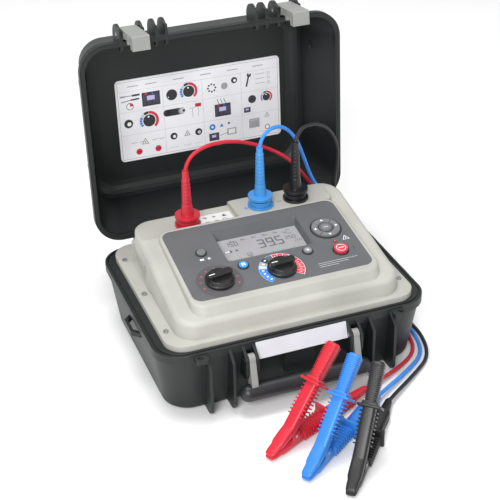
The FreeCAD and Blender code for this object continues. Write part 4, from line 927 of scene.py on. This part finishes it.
def lower_half():
    shell = bmesh.new()
    grooved_arm(shell, LOWER_END - ARM_START[0], -8.3)
    bmesh.ops.transform(shell, matrix=Matrix.Translation((ARM_START[0], 0, ARM_HEIGHT)), verts=shell.verts)
    shell_body(shell, [
        (0.4, 4.0, 0, 4.6, 1.2, 3), (1.4, 4.1, 0, 5.6, 1.9, 3), (5, 4.4, 0, 6.5, 2.6, 3),
        (15, 5.6, 0, 6.9, 4.2, 3), (19, 6.1, 0, 8.0, 4.7, 4), (39, 8.5, 0, 8.2, 6.3, 4)])
    for side in (-1, 1):
        pivot_lug(shell, side)
    along = Matrix.Rotation(math.radians(90), 4, "Y")
    bmesh.ops.create_cone(shell, cap_ends=True, segments=28, radius1=6.4, radius2=3.6, depth=27,
                          matrix=Matrix.Translation((162, 0, 8)) @ along)
    for row in range(5):
        bmesh.ops.create_cone(shell, cap_ends=True, segments=28, radius1=6.3 - 0.42 * row,
                              radius2=6.1 - 0.42 * row, depth=2,
                              matrix=Matrix.Translation((154.5 + 4.4 * row, 0, 8)) @ along)
    return shell


def upper_half():
    shell = bmesh.new()
    grooved_arm(shell, UPPER_LENGTH, -11.0)
    rise = Matrix.Rotation(math.radians(-ARM_RISE), 4, "Y")
    turned = Matrix.Translation((ARM_START[0], 0, ARM_START[1])) @ rise
    turned = turned @ Matrix.Diagonal((1, 1, -1, 1))
    bmesh.ops.transform(shell, matrix=turned, verts=shell.verts)
    shell_body(shell, [
        (0.6, 8.2, 8, 4.6, 1.2, 3), (1.6, 8.9, 8, 5.8, 2.0, 3), (5, 10.3, 12, 6.6, 2.7, 3),
        (13, 13.7, 18, 6.9, 3.8, 3), (17, 15.9, 24, 8.1, 4.6, 4), (26, 20.4, 34, 8.2, 5.7, 4),
        (37.5, 26.8, 47, 8.1, 6.3, 4)])
    cheek = Matrix.Translation((PIVOT_U, 0, 18.5)) @ Matrix.Diagonal((10.5, 10.8, 14.0, 1))
    made = bmesh.ops.create_cube(shell, size=1.0, matrix=cheek)
    bmesh.ops.bevel(shell, geom=edges_of(made), offset=1.2, offset_type="OFFSET", segments=2,
                    profile=0.5, affect="EDGES", clamp_overlap=True, material=-1)
    return shell


def clip_piece(name, shell, colour, body, paint):
    """Lay a finished half down at its clip's place."""
    x, y, heading = CLIP_PLACE[colour]
    place = Matrix.Translation((x, y, 0)) @ Matrix.Rotation(math.radians(heading), 4, "Z")
    bmesh.ops.transform(shell, matrix=place @ Matrix.Scale(0.001, 4), verts=shell.verts)
    bmesh.ops.recalc_face_normals(shell, faces=shell.faces)
    data = bpy.data.meshes.new(name)
    shell.to_mesh(data)
    shell.free()
    data.shade_smooth()
    data.set_sharp_from_angle(angle=math.radians(40))
    data.materials.append(paint)
    piece = bpy.data.objects.new(name, data)
    bpy.context.collection.objects.link(piece)
    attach(piece, body)
    return piece


for colour, tint in CLIP_COLOUR.items():
    nylon = moulded("clip nylon " + colour, tint, 0.42, 1300, 0.00006, 0.0004, 1.35, 0.05)
    below = clip_piece("clip_lower_" + colour, lower_half(), colour, "case", nylon)
    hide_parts("clip_bottom_" + colour)
    above = clip_piece("clip_upper_" + colour, upper_half(), colour, "clip_top_" + colour, nylon)
    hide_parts("clip_top_" + colour)
